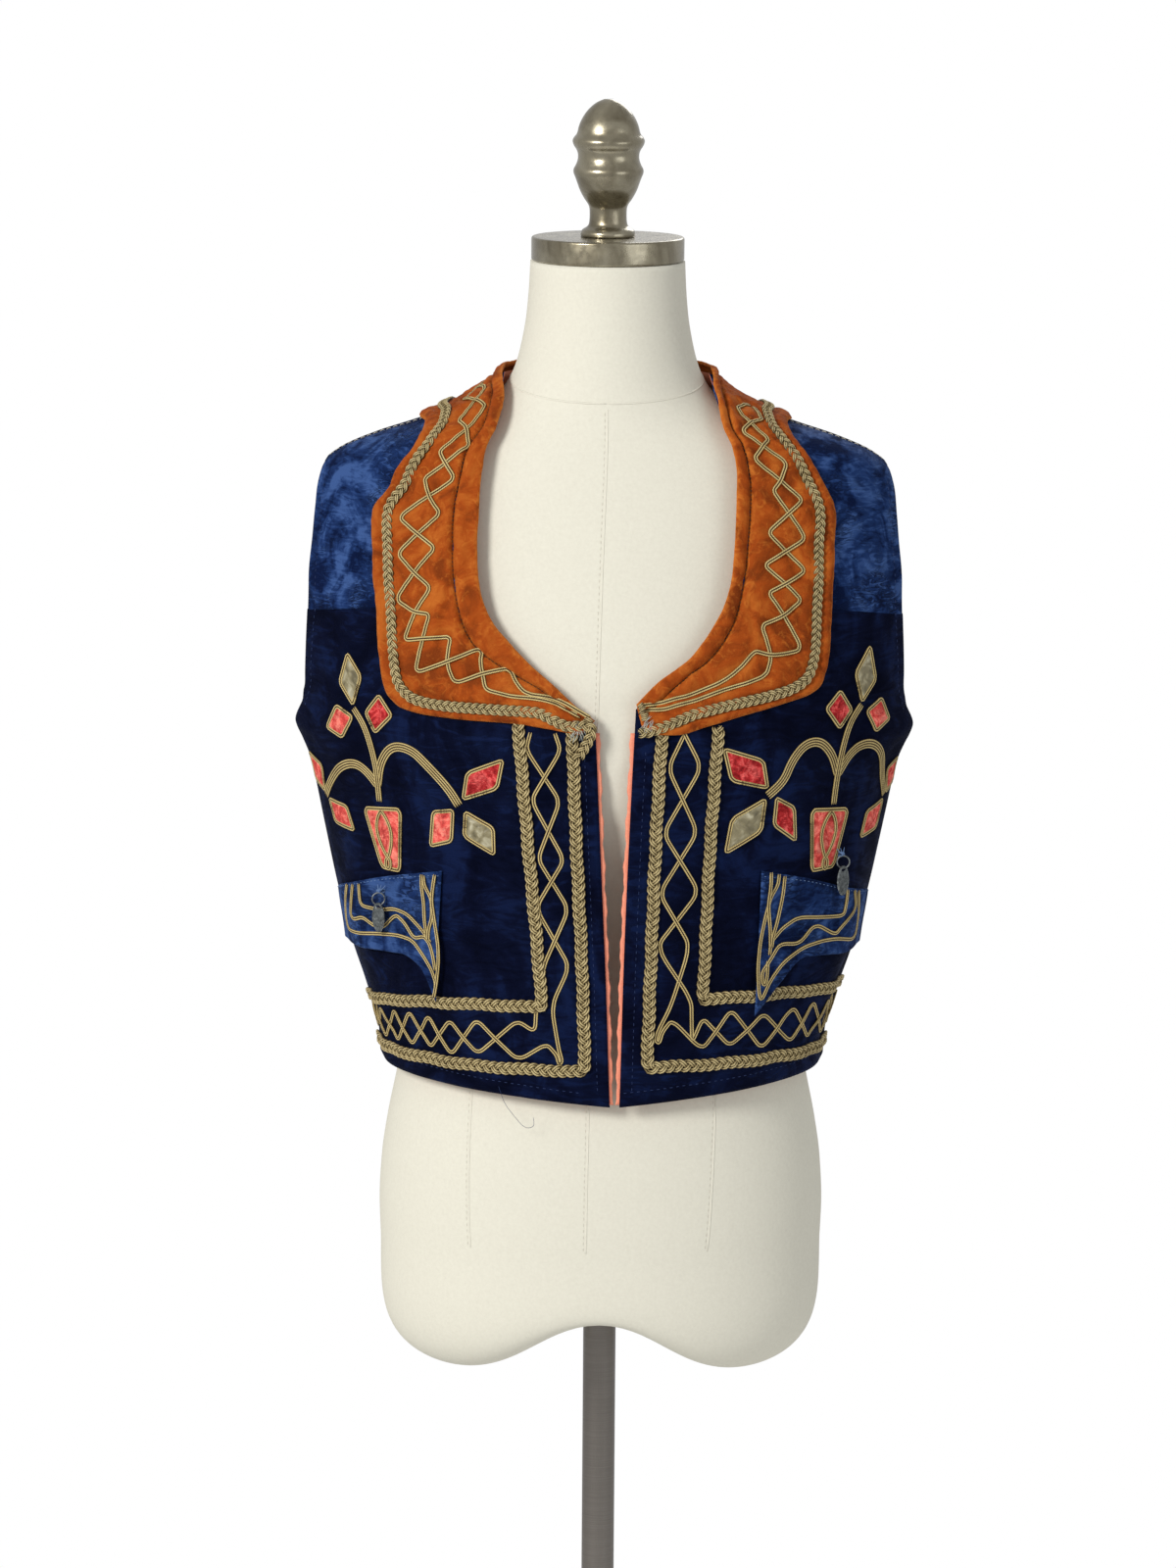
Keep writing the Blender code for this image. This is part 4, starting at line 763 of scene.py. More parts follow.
def on_face(turn, height, side):
    """Points of the vest's face."""
    turn = np.asarray(turn, float)
    row = np.clip((np.asarray(height, float) - HEIGHTS[0]) / HEIGHT_STEP, 0, len(HEIGHTS) - 1.001)
    column = np.clip(np.abs(turn) * TURN_STEPS, 0, 2 * TURN_STEPS - 1e-6)
    i = row.astype(int)
    j = column.astype(int)
    u = (row - i)[..., None]
    v = (column - j)[..., None]
    low = (1 - v) * FACE[i, j] + v * FACE[i, j + 1]
    high = (1 - v) * FACE[i + 1, j] + v * FACE[i + 1, j + 1]
    point = (1 - u) * low + u * high
    point[..., 0] *= side * np.where(turn < 0, -1.0, 1.0)
    return point


def unit(vectors):
    """Vectors at length 1."""
    return vectors / np.maximum(np.linalg.norm(vectors, axis=-1, keepdims=True), 1e-12)


def outward(turn, height, side):
    """The direction square to the vest's face."""
    around = on_face(turn + 0.02, height, side) - on_face(turn - 0.02, height, side)
    up = on_face(turn, height + 0.004, side) - on_face(turn, height - 0.004, side)
    return unit(side * np.cross(around, up))


def near_segment(x, y, x0, y0, x1, y1, half_width):
    """1 on a segment, fading away from it and towards its ends."""
    length = math.hypot(x1 - x0, y1 - y0)
    along = ((x - x0) * (x1 - x0) + (y - y0) * (y1 - y0)) / length**2
    across = ((x - x0) * (y1 - y0) - (y - y0) * (x1 - x0)) / length
    swell = np.clip(along * (1 - along) * 4, 0, 1) ** 0.6
    return swell * np.exp(-((across / half_width) ** 2))


def fold_lift(turn, height, side):
    """How far the cloth's folds and creases lift it."""
    total = np.zeros(np.broadcast(turn, height).shape)
    for fold_side, at_turn, at_height, half_width, half_height, lift in FOLDS:
        if fold_side in (0, side):
            across = (turn - at_turn) * FOLD_QUARTER / half_width
            along = (height - at_height) / half_height
            total = total + lift * np.exp(-(across**2) - along**2)
    x = turn * FOLD_QUARTER
    for crease_side, t0, h0, t1, h1, half_width, lift in CREASES:
        if crease_side in (0, side):
            near = near_segment(x, height, t0 * FOLD_QUARTER, h0, t1 * FOLD_QUARTER, h1, half_width)
            total = total + lift * near
    return total


def place(turn, height, side, out):
    """Points standing off the vest's face, with its folds."""
    turn, height = np.broadcast_arrays(np.asarray(turn, float), np.asarray(height, float))
    lift = fold_lift(turn, height, side) + out
    return on_face(turn, height, side) + outward(turn, height, side) * lift[..., None]


def soften(points, rounds=2, cut=0.25):
    """Rounds the corners of a line and keeps its ends."""
    points = np.asarray(points, float)
    for _ in range(rounds):
        before = points[:-1] * (1 - cut) + points[1:] * cut
        after = points[:-1] * cut + points[1:] * (1 - cut)
        middle = np.stack([before, after], axis=1).reshape(-1, points.shape[1])
        points = np.concatenate([points[:1], middle[1:-1], points[-1:]])
    return points


def soften_loop(points, cut):
    """Rounds every corner of a closed line, whose last point isn't its first."""
    points = np.asarray(points, float)
    for _ in range(2):
        following = np.roll(points, -1, axis=0)
        before = points * (1 - cut) + following * cut
        after = points * cut + following * (1 - cut)
        points = np.stack([before, after], axis=1).reshape(-1, points.shape[1])
    return points


def evenly(points, step, extra=()):
    """A line's points at even steps, with any values that go with them."""
    lengths = lengths_along(points)
    at = np.linspace(0.0, lengths[-1], max(4, int(round(lengths[-1] / step)) + 1))
    return at, [sample(at, lengths, values.reshape(len(values), -1)) for values in (points, *extra)]


def add_object(name, data):
    made = bpy.data.objects.new(name, data)
    bpy.context.scene.collection.objects.link(made)
    return made


class Pile:
    """Gathers grids of quads, with a map of where each point lies along and round its strand."""

    def __init__(self):
        self.points = []
        self.faces = []
        self.loose = []
        self.maps = []
        self.tones = []
        self.strand_lights = []
        self.count = 0

    def grid(self, points, across=None, along=None, wrap=False, tone=0, wear=USUAL_STRAND_LIGHT):
        rows, columns = points.shape[:2]
        i, j = np.meshgrid(np.arange(rows - 1), np.arange(columns if wrap else columns - 1), indexing="ij")
        n = (j + 1) % columns
        corners = [i * columns + j, i * columns + n, (i + 1) * columns + n, (i + 1) * columns + j]
        quads = np.stack(corners, axis=-1)
        start = self.count
        self.faces.append(quads.reshape(-1, 4) + start)
        self.tones.append(np.full((rows - 1) * quads.shape[1], tone))
        self.points.append(points.reshape(-1, 3))
        along = np.zeros(rows) if along is None else along
        across = np.linspace(0, 1, columns) if across is None else across
        spread = np.stack(np.broadcast_arrays(along[:, None], across[None, :]), axis=-1)
        self.maps.append(spread.reshape(-1, 2))
        # Painted light of each row, from 0 (painted shade) to 1 (painted highlight), kept for a second map
        wear_and_painted_light = np.broadcast_to(np.reshape(wear, (-1, 1)), (rows, columns))
        self.strand_lights.append(wear_and_painted_light.reshape(-1))
        self.count += rows * columns
        return start

    def tube(self, centre, across, up, half_width, half_height, sides=CORD_SIDES, ends=(0.45, 0.85), tone=0,
             wear=USUAL_STRAND_LIGHT):
        """A round or flat strand along a line, closed and tapered at both ends."""
        count = len(centre)
        taper = np.ones(count)
        taper[: len(ends)] = ends
        taper[-len(ends) :] = ends[::-1]
        angles = 2 * math.pi * np.arange(sides) / sides
        wide = (half_width * taper)[:, None, None] * np.cos(angles)[None, :, None]
        high = (half_height * taper)[:, None, None] * np.sin(angles)[None, :, None]
        rings = centre[:, None, :] + across[:, None, :] * wide + up[:, None, :] * high
        along = lengths_along(centre)
        start = self.grid(rings, np.arange(sides) / sides, along, wrap=True, tone=tone, wear=wear)
        self.close(start, sides, True)
        self.close(start + (count - 1) * sides, sides)

    def strand(self, path, facing, half_width, half_height, sides=CORD_SIDES, **more):
        """A tube whose flat side lies as the normals in facing say."""
        across, up = flat_normals(path, np.broadcast_to(facing, path.shape))
        self.tube(path, across, up, half_width, half_height, sides, **more)

    def close(self, start, count, turned=False):
        """A flat face over a ring of points."""
        ring = [start + k for k in range(count)]
        self.loose.append(ring[::-1] if turned else ring)

    def build(self, name, finish, second=None):
        points = np.concatenate(self.points)
        faces = np.concatenate(self.faces)
        mesh = bpy.data.meshes.new(name)
        mesh.from_pydata(points.tolist(), [], faces.tolist() + self.loose)
        spread = np.concatenate(self.maps)
        layer = mesh.uv_layers.new(name="strand")
        corners = np.zeros(len(mesh.loops), int)
        mesh.loops.foreach_get("vertex_index", corners)
        spread = spread[corners]
        quads = spread[: 4 * len(faces)].reshape(-1, 4, 2)
        split = np.ptp(quads[..., 1], axis=1) > 0.6
        quads[split, :, 1] += quads[split, :, 1] < 0.3
        layer.data.foreach_set("uv", spread.astype(np.float32).reshape(-1))
        # The second map carries each point's painted light to the yarn's colour
        wear_and_painted_light = np.concatenate(self.strand_lights)[corners]
        second_map = np.stack([wear_and_painted_light, 0 * wear_and_painted_light], axis=1)
        mesh.uv_layers.new(name="wear").data.foreach_set("uv", second_map.astype(np.float32).reshape(-1))
        mesh.polygons.foreach_set("use_smooth", np.ones(len(mesh.polygons), bool))
        mesh.materials.append(finish)
        if second is not None:
            mesh.materials.append(second)
            tones = np.concatenate(self.tones + [np.zeros(len(self.loose), int)])
            mesh.polygons.foreach_set("material_index", tones.astype(np.int32))
        return add_object(name, mesh)


def flat_normals(centre, normals):
    """The direction across a line that lies on a surface, and the surface's direction square to the line."""
    tangent = unit(np.gradient(centre, axis=0))
    across = unit(np.cross(normals, tangent))
    return across, unit(np.cross(tangent, across))


def lay_strands(pile, centre, normals, strands=2, lift=None, apart=STRAND_APART, half=STRAND_HALF):
    """Strands laid side by side along a line on the cloth, and the dark stitches between them."""
    extra = (normals,) if lift is None else (normals, lift)
    _, found = evenly(centre, CORD_STEP, extra)
    line, line_normals = found[0], unit(found[1])
    across, up = flat_normals(line, line_normals)
    height = STRAND_RISE * 0.6 + (0.0 if lift is None else found[2][:, :1])
    for k in range(strands):
        off = (k - (strands - 1) / 2) * apart
        pile.strand(line + across * off + up * height, up, half, STRAND_RISE)
    for k in range(strands - 1):
        off = (k - (strands - 2) / 2) * apart
        hop = 0.30 + 0.15 * np.sin(np.arange(len(line)) * 2.1 + k)[:, None]
        path = line + across * off + up * (height + STRAND_RISE * hop)
        pile.strand(path, up, STITCH_HALF, STITCH_HALF, 4, tone=1)


def face_route(turn, height, side, out):
    """Points on the vest by turn and height, and their normals."""
    return place(turn, height, side, out), outward(turn, height, side)


def vest_route(distances, heights, side, out):
    """Points on the vest by distance from the centre front and height, and their normals."""
    return face_route(turn_of(distances, heights), heights, side, out)


def cords_made(pile, name, look="cord_gold"):
    """Cords and their dark stitches, riding with the vest."""
    return ride(pile.build(name, LOOKS[look], LOOKS["thread_dark"]))


def ride(obj, body=BODY, replaces=()):
    """Says which body a piece moves with and what it stands for."""
    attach(obj, body)
    if replaces:
        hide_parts(*replaces)
    return obj


def round_edges(grid, reach):
    """0 at a grid's border and 1 inside, with the rise of a rounded edge."""
    across = np.linalg.norm(np.diff(grid, axis=1), axis=-1)
    along = np.linalg.norm(np.diff(grid, axis=0), axis=-1)
    rows, columns = grid.shape[:2]
    from_left = np.concatenate([np.zeros((rows, 1)), np.cumsum(across, axis=1)], axis=1)
    from_foot = np.concatenate([np.zeros((1, columns)), np.cumsum(along, axis=0)], axis=0)
    near = np.minimum.reduce(
        [from_left, from_left[:, -1:] - from_left, from_foot, from_foot[-1:] - from_foot]
    )
    share = np.clip(near / reach, 0, 1)
    return np.sqrt(1 - (1 - share) ** 2)


def shell(name, middle, normals, thick, reach, finish, inside=None):
    """A sheet of cloth with rounded edges: middle holds the points half way through it."""
    rise = (thick / 2 * (0.08 + 0.92 * round_edges(middle, reach)))[..., None]
    outer = middle + normals * rise
    inner = middle - normals * rise
    pile = Pile()
    start = pile.grid(outer)
    back = pile.grid(inner[:, ::-1], tone=1)
    rows, columns = middle.shape[:2]
    rim = [(0, j) for j in range(columns)]
    rim += [(i, columns - 1) for i in range(1, rows)]
    rim += [(rows - 1, j) for j in range(columns - 2, -1, -1)]
    rim += [(i, 0) for i in range(rows - 2, 0, -1)]
    for k, (i, j) in enumerate(rim):
        m, n = rim[(k + 1) % len(rim)]
        a = start + i * columns + j
        b = start + m * columns + n
        c = back + m * columns + columns - 1 - n
        d = back + i * columns + columns - 1 - j
        pile.loose.append([b, a, d, c])
    return turn_out(pile.build(name, finish, inside))


def turn_out(obj):
    """Points every face outwards."""
    mesh = obj.data
    mesh.calc_loop_triangles()
    points = np.zeros(len(mesh.vertices) * 3)
    mesh.vertices.foreach_get("co", points)
    corners = np.zeros(len(mesh.loop_triangles) * 3, int)
    mesh.loop_triangles.foreach_get("vertices", corners)
    a, b, c = points.reshape(-1, 3)[corners.reshape(-1, 3)].transpose(1, 0, 2)
    if np.einsum("ij,ij->i", a, np.cross(b, c)).sum() < 0:
        mesh.flip_normals()
    return obj


def layer(name, turn, height, side, out, thick, reach, finish, inside=None):
    """Cloth over a grid of turns and heights, with its outer face at out."""
    turn, height = np.broadcast_arrays(turn, height)
    middle, normals = face_route(turn, height, side, np.asarray(out) - thick / 2)
    return shell(name, middle, normals, thick, reach, finish, inside)

# ---- materials ----


class Shading:
    """A material's nodes, made in short calls."""

    def __init__(self, name):
        self.material = bpy.data.materials.new("look_" + name)
        self.material.use_nodes = True
        self.tree = self.material.node_tree
        self.shader = self.tree.nodes["Principled BSDF"]

    def node(self, kind, settings=(), **inputs):
        made = self.tree.nodes.new("ShaderNode" + kind)
        for key, value in dict(settings).items():
            setattr(made, key, value)
        for key, value in inputs.items():
            self.put(made.inputs[key.replace("_", " ")], value)
        return made

    def put(self, socket, value):
        if isinstance(value, bpy.types.NodeSocket):
            self.tree.links.new(value, socket)
        elif isinstance(value, tuple) and len(value) == 3 and socket.type == "RGBA":
            socket.default_value = (*value, 1.0)
        else:
            socket.default_value = value

    def here(self, scale=(1, 1, 1), turn=(0, 0, 0)):
        """Where a point lies, in metres, stretched by scale."""
        place_node = self.node("Mapping", Vector=self.node("TexCoord").outputs["Object"])
        place_node.inputs["Scale"].default_value = scale
        place_node.inputs["Rotation"].default_value = turn
        return place_node.outputs["Vector"]

    def round_the_form(self):
        """How far round the form a point lies, and how high, in metres."""
        apart = self.node("SeparateXYZ", Vector=self.here()).outputs
        angle = self.maths("ARCTAN2", apart["X"], self.maths("MULTIPLY", apart["Y"], -1.0))
        joined = self.node("CombineXYZ")
        self.put(joined.inputs["X"], self.maths("MULTIPLY", angle, WEAVE_RADIUS))
        self.put(joined.inputs["Z"], apart["Z"])
        return joined.outputs["Vector"]

    def noise(self, scale, detail=3.0, rough=0.55, twist=0.0, vector=None):
        vector = vector or self.here()
        grain = {"Scale": scale, "Detail": detail, "Roughness": rough, "Distortion": twist}
        return self.node("TexNoise", Vector=vector, **grain).outputs["Fac"]

    def ramp(self, fac, stops):
        made = self.node("ValToRGB", Fac=fac)
        line = made.color_ramp
        while len(line.elements) < len(stops):
            line.elements.new(0.5)
        for element, (at, colour) in zip(line.elements, stops):
            element.position = at
            element.color = (*colour, 1.0) if isinstance(colour, tuple) else (colour, colour, colour, 1.0)
        return made.outputs["Color"]

    def maths(self, operation, a, b=0.0, c=0.0):
        made = self.node("Math", {"operation": operation})
        for socket, value in zip(made.inputs, (a, b, c)):
            self.put(socket, value)
        return made.outputs["Value"]

    def mix(self, fac, a, b):
        made = self.node("MixRGB")
        for key, value in (("Fac", fac), ("Color1", a), ("Color2", b)):
            self.put(made.inputs[key], value)
        return made.outputs["Color"]

    def bump(self, height, distance, strength=1.0, below=None):
        made = self.node("Bump", Height=height, Distance=distance, Strength=strength)
        if below is not None:
            self.put(made.inputs["Normal"], below)
        return made.outputs["Normal"]

    def map_of(self, name):
        return self.node("SeparateXYZ", Vector=self.node("UVMap", {"uv_map": name}).outputs["UV"]).outputs

    def strand(self):
        """Distance along a strand and share of the way round it."""
        split = self.map_of("strand")
        return split["X"], split["Y"]

    def finish(self, colour, normal=None, **sockets):
        self.put(self.shader.inputs["Base Color"], colour)
        if normal is not None:
            self.put(self.shader.inputs["Normal"], normal)
        for key, value in sockets.items():
            self.put(self.shader.inputs[key.replace("_", " ")], value)
        return self.material

    def pile(self, specular, sheen, rough, tint):
        """How pile cloth shines, on the shader's own sockets."""
        shader = self.shader.inputs
        shader["Specular IOR Level"].default_value = specular
        shader["Sheen Weight"].default_value = sheen
        shader["Sheen Roughness"].default_value = rough
        shader["Sheen Tint"].default_value = (*tint, 1.0)


def velvet(name, crush, sheen, sheen_tint, creased):
    """Pile cloth: pressed patches in painted sheen and painted shade, painted shade in creases where the pile
    lies down, and a fine nap flecked towards the painted sheen.
    """
    darkest, usual, brightest, size = CLOTHS[name]
    look = Shading(name)
    patches = look.noise(size, 5.0, 0.58, 1.4, look.here((1.0, 1.0, 0.75), (0.0, 0.35, 0.0)))
    streaks = look.noise(size * 3.2, 6.0, 0.62, 2.4, look.here((0.55, 0.55, 1.7), (0.0, 0.35, 0.0)))
    # Thin crease lines, along which painted shade is laid
    folds = look.maths("ABSOLUTE", look.maths("SUBTRACT", streaks, 0.5))
    folds = look.ramp(folds, ((0.004, 0.0), (0.050, 1.0)))
    worked = look.ramp(look.noise(size * 0.8, 3.0, 0.5, 0.8), ((0.42, 0.0), (0.60, 1.0)))
    # 1 keeps the colour, 0 gives the darkest colour as painted shade in a crease
    kept = look.mix(look.maths("MULTIPLY", worked, creased), (1.0, 1.0, 1.0), folds)
    tone = look.maths("MULTIPLY_ADD", look.maths("SUBTRACT", streaks, 0.5), 0.55 * crush, patches)
    low = 0.50 - 0.16 * crush
    high = 0.50 + 0.15 * crush
    # Painted shade (darkest) and painted sheen (brightest) of crushed pile, in patches and streaks
    colour = look.ramp(tone, ((low, darkest), (0.50, usual), (high, brightest)))
    colour = look.mix(kept, darkest, colour)
    nap = look.noise(GRAIN, 2.0, 0.7)
    # Fine nap flecked towards the brightest colour, a painted sheen
    colour = look.mix(look.ramp(nap, ((0.35, 0.0), (0.75, 0.35))), colour, look.mix(0.30, colour, brightest))
    height = look.maths("MULTIPLY_ADD", kept, 0.35, tone)
    rough = look.ramp(tone, ((low, 1.0), (high, 0.70)))
    raised = look.bump(height, 0.0022 * crush, 0.8)
    made = look.finish(colour, look.bump(nap, 0.0003, 0.45, raised), Roughness=rough)
    look.pile(0.06, sheen, 0.35, sheen_tint)
    return made


def collar_velvet():
    """Orange pile, darker in random patches as painted shade, golden in places as painted sheen of crushed
    pile and wear, and rubbed golden along its rolled edges.
    """
    darkest, usual, brightest, size = CLOTHS["velvet_orange"]
    look = Shading("velvet_orange")
    patches = look.noise(size, 5.0, 0.6, 1.2)
    rubs_and_sheen = look.noise(size * 2.6, 5.0, 0.68, 2.2)
    edge = look.strand()[1]
    # Golden spots: wear along the rolled edges, and inside them painted sheen of crushed pile
    wear_and_painted_light = look.maths("ADD", look.maths("MULTIPLY", rubs_and_sheen, 0.78), look.maths("MULTIPLY", edge, 0.22))
    # Random patches of painted shade (darkest) and painted sheen (towards brightest)
    base = look.ramp(patches, ((0.36, darkest), (0.50, usual), (0.66, look_mix(usual, brightest, 0.45))))
    colour = look.mix(look.ramp(wear_and_painted_light, ((0.42, 0.0), (0.62, 0.80))), base, brightest)
    nap = look.noise(GRAIN, 2.0, 0.7)
    # Fine nap flecked towards the brightest colour (painted sheen and wear)
    colour = look.mix(look.ramp(nap, ((0.30, 0.0), (0.72, 0.40))), colour, look.mix(0.5, colour, brightest))
    raised = look.bump(rubs_and_sheen, 0.0009, 0.7)
    made = look.finish(colour, look.bump(nap, 0.0003, 0.5, raised), Roughness=0.85)
    look.pile(0.08, 0.06, 0.40, (1.0, 0.55, 0.22))
    return made


def look_mix(first, second, share):
    return tuple(a + (b - a) * share for a, b in zip(first, second))


def yarn(name, dark, middle, light, twists, ply):
    """Twisted thread: its ply runs round the strand as it goes along; painted shade lies in its grooves, down
    its sides and under crossing strands, with a painted highlight on its top.
    """
    look = Shading(name)
    along, around = look.strand()
    phase = look.maths("ADD", look.maths("MULTIPLY", along, twists), look.maths("MULTIPLY", around, ply))
    # Ply ridges, darker in their grooves: painted shade
    ridges = look.maths("SINE", look.maths("MULTIPLY", phase, 2 * math.pi))
    ridges = look.maths("MULTIPLY_ADD", ridges, 0.5, 0.5)
    # A painted highlight on each strand's top
    top_highlight = look.maths("SINE", look.maths("MULTIPLY", around, 2 * math.pi))
    top_highlight = look.maths("POWER", look.maths("MAXIMUM", top_highlight, 0.0), 2.2)
    # Painted shade where a plaited strand passes under the others, painted highlight where it lies on top
    raised = look.map_of("wear")["X"]
    uneven = look.noise(90.0, 4.0, 0.6)
    tone = look.maths("ADD", look.maths("MULTIPLY", ridges, 0.22), look.maths("MULTIPLY", uneven, 0.34))
    tone = look.maths("MULTIPLY_ADD", top_highlight, 0.42, look.maths("SUBTRACT", tone, 0.30))
    tone = look.maths("MULTIPLY_ADD", raised, 0.50, tone)
    colour = look.ramp(tone, ((0.10, dark), (0.45, middle), (0.92, light)))
    fuzz = look.bump(look.noise(4200.0, 2.0), 0.00012, 0.5)
    normal = look.bump(ridges, 0.00025, 0.8, fuzz)
    return look.finish(colour, normal, Roughness=0.55, Specular_IOR_Level=0.30)


def satin():
    look = Shading("satin_olive")
    weave = look.noise(900.0, 3.0, 0.5, 0.0, look.here((6.0, 6.0, 0.5)))
    soft = look.noise(120.0, 3.0, 0.5, 1.0)
    tones = ((0.30, (0.090, 0.075, 0.035)), (0.52, (0.200, 0.170, 0.090)), (0.75, (0.420, 0.390, 0.270)))
    colour = look.ramp(soft, tones)
    normal = look.bump(weave, 0.0002, 0.5, look.bump(soft, 0.0008, 0.6))
    return look.finish(colour, normal, Roughness=0.42, Specular_IOR_Level=0.6)


def woven(name, dark, light, threads, rough, mottle):
    """Plain weave seen close, with slubs."""
    look = Shading(name)
    here = look.round_the_form()
    bands = []
    for direction in ("X", "Z"):
        wave = look.node(
            "TexWave",
            {"wave_type": "BANDS", "bands_direction": direction},
            Vector=here,
            Scale=threads,
            Distortion=1.2,
            Detail=2.0,
        )
        bands.append(wave.outputs["Fac"])
    weave = look.maths("MULTIPLY", bands[0], bands[1])
    slubs = look.noise(420.0, 4.0, 0.7)
    threads_part = look.maths("MULTIPLY", weave, 1.0 - mottle)
    tone = look.maths("ADD", threads_part, look.maths("MULTIPLY", slubs, mottle * 2))
    colour = look.ramp(tone, ((0.05, dark), (0.75, light)))
    return look.finish(colour, look.bump(tone, 0.00022, 0.45), Roughness=rough, Specular_IOR_Level=0.2)


def bronze():
    """Antique bronze under lacquer, with glints where the lacquer crazed."""
    look = Shading("bronze_antique")
    cloud = look.noise(38.0, 5.0, 0.6, 0.8)
    fine = look.noise(900.0, 3.0, 0.7)
    tones = ((0.30, (0.165, 0.140, 0.090)), (0.55, (0.300, 0.268, 0.190)), (0.80, (0.420, 0.385, 0.290)))
    colour = look.ramp(cloud, tones)
    rough = look.ramp(look.noise(160.0, 4.0, 0.6), ((0.30, 0.20), (0.75, 0.40)))
    made = look.finish(colour, look.bump(fine, 0.00010, 0.35), Roughness=rough, Metallic=0.92)
    look.shader.inputs["Coat Weight"].default_value = 0.5
    look.shader.inputs["Coat Roughness"].default_value = 0.12
    return made


def steel():
    """Dark steel brushed round the pole."""
    look = Shading("steel_dark")
    brushed = look.noise(60.0, 4.0, 0.7, 0.0, look.here((0.3, 0.3, 60.0)))
    cloud = look.noise(14.0, 3.0, 0.5, 0.0, look.here((1.0, 1.0, 0.3)))
    bright = look.ramp(brushed, ((0.30, 0.0), (0.75, 0.6)))
    colour = look.mix(bright, (0.150, 0.135, 0.120), (0.300, 0.280, 0.260))
    rough = look.ramp(cloud, ((0.30, 0.30), (0.75, 0.42)))
    return look.finish(colour, look.bump(brushed, 0.00006, 0.5), Roughness=rough, Metallic=0.95)


def charm_metal():
    """Stamped metal gone dark, paler where fingers rub it."""
    look = Shading("metal_charm")
    cloud = look.noise(420.0, 5.0, 0.65, 0.6)
    tones = ((0.32, (0.050, 0.055, 0.055)), (0.55, (0.150, 0.165, 0.168)), (0.80, (0.330, 0.350, 0.345)))
    colour = look.ramp(cloud, tones)
    rough = look.ramp(cloud, ((0.30, 0.60), (0.80, 0.36)))
    return look.finish(colour, look.bump(cloud, 0.00015, 0.6), Roughness=rough, Metallic=0.80)


def thread(name, colour):
    look = Shading(name)
    along, around = look.strand()
    phase = look.maths("ADD", look.maths("MULTIPLY", along, 1400.0), around)
    ridges = look.maths("SINE", look.maths("MULTIPLY", phase, 2 * math.pi))
    shade = look_mix(colour, (0, 0, 0), 0.45)
    tone = look.ramp(look.maths("MULTIPLY_ADD", ridges, 0.5, 0.5), ((0.1, shade), (0.9, colour)))
    return look.finish(tone, look.bump(ridges, 0.00008, 0.5), Roughness=0.7, Specular_IOR_Level=0.3)


# Colours of the woven cloths: dark, light, threads, roughness, mottle
WOVEN = {
    "lining_coral": ((0.560, 0.150, 0.095), (0.860, 0.330, 0.210), 700.0, 0.85, 0.35),
    "linen_cream": ((0.540, 0.515, 0.435), (0.700, 0.685, 0.590), 420.0, 0.95, 0.30),
}
# Yarns: dark (painted shade), middle, light (painted highlight), twists per metre, ply
YARNS = {
    "braid_gold": ((0.016, 0.010, 0.003), (0.160, 0.112, 0.042), (0.530, 0.430, 0.215), 420.0, 3.0),
    "cord_gold": ((0.030, 0.018, 0.004), (0.235, 0.162, 0.052), (0.640, 0.510, 0.220), 560.0, 2.0),
}
# Velvets: strength of the crush (its painted sheen and shade), sheen, sheen's tint, share of creases (with
# painted shade)
VELVETS = {
    "velvet_navy": (1.0, 0.012, (0.25, 0.45, 1.0), 0.35),
    "velvet_blue": (0.80, 0.030, (0.35, 0.55, 1.0), 1.0),
    "velvet_coral": (0.90, 0.05, (1.0, 0.70, 0.62), 0.50),
    "velvet_red": (0.90, 0.05, (1.0, 0.50, 0.48), 0.60),
}
THREADS = {
    "thread_navy": (0.020, 0.040, 0.130),
    "thread_pale_blue": (0.130, 0.220, 0.420),
    "thread_silver": (0.520, 0.540, 0.480),
    "thread_dark": (0.060, 0.030, 0.016),
    "thread_cream": (0.660, 0.620, 0.520),
}

LOOKS = {
    "velvet_orange": collar_velvet(),
    "satin_olive": satin(),
    "bronze_antique": bronze(),
    "steel_dark": steel(),
    "metal_charm": charm_metal(),
}
LOOKS.update({name: velvet(name, *row) for name, row in VELVETS.items()})
LOOKS.update({name: woven(name, *row) for name, row in WOVEN.items()})
LOOKS.update({name: yarn(name, *row) for name, row in YARNS.items()})
LOOKS.update({name: thread(name, colour) for name, colour in THREADS.items()})


# ---- the vest's panels ----


def table_at(rows, at, column):
    table = np.array(rows)
    return smooth_curve(at, table[:, 0], table[:, column])


def edge_distance(height, side):
    """How far a front's free edge lies round from the centre front."""
    return table_at(FRONT_EDGES, height, 1 if side < 0 else 2) * (-1.0 if side < 0 else 1.0)


def edge_turn(height, side):
    return turn_of(edge_distance(height, side), height)


def collar_rows(side):
    return np.array(COLLAR_RIGHT if side < 0 else COLLAR_LEFT)


def collar_lengths(side):
    """How far along from the front point each row of the collar's table lies, half way across."""
    rows = collar_rows(side)
    middle = (on_face(rows[:, 0], rows[:, 1], side) + on_face(rows[:, 2], rows[:, 3], side)) / 2
    return lengths_along(middle)


def collar_lines(side, along):
    """Inner and outer edge of the collar, as turns and heights, at distances along it."""
    rows = collar_rows(side)
    lengths = collar_lengths(side)
    return [smooth_curve(along, lengths, rows[:, k]) for k in range(4)]


def collar_spot(side, along, share):
    in_turn, in_height, out_turn, out_height = collar_lines(side, along)
    return in_turn + share * (out_turn - in_turn), in_height + share * (out_height - in_height)


def collar_width(side, along):
    in_turn, in_height, out_turn, out_height = collar_lines(side, along)
    return np.linalg.norm(on_face(in_turn, in_height, side) - on_face(out_turn, out_height, side), axis=-1)


def band_share(side, along):
    total = collar_lengths(side)[-1]
    table = np.array(BAND_SHARES[side])
    return np.interp(along / total, table[:, 0], table[:, 1])


def relief(distance, rows):
    """Ridges and hollows at distances from a line: where each lies, its half width, its lift."""
    return sum(lift * np.exp(-(((distance - where) / half_width) ** 2)) for where, half_width, lift in rows)


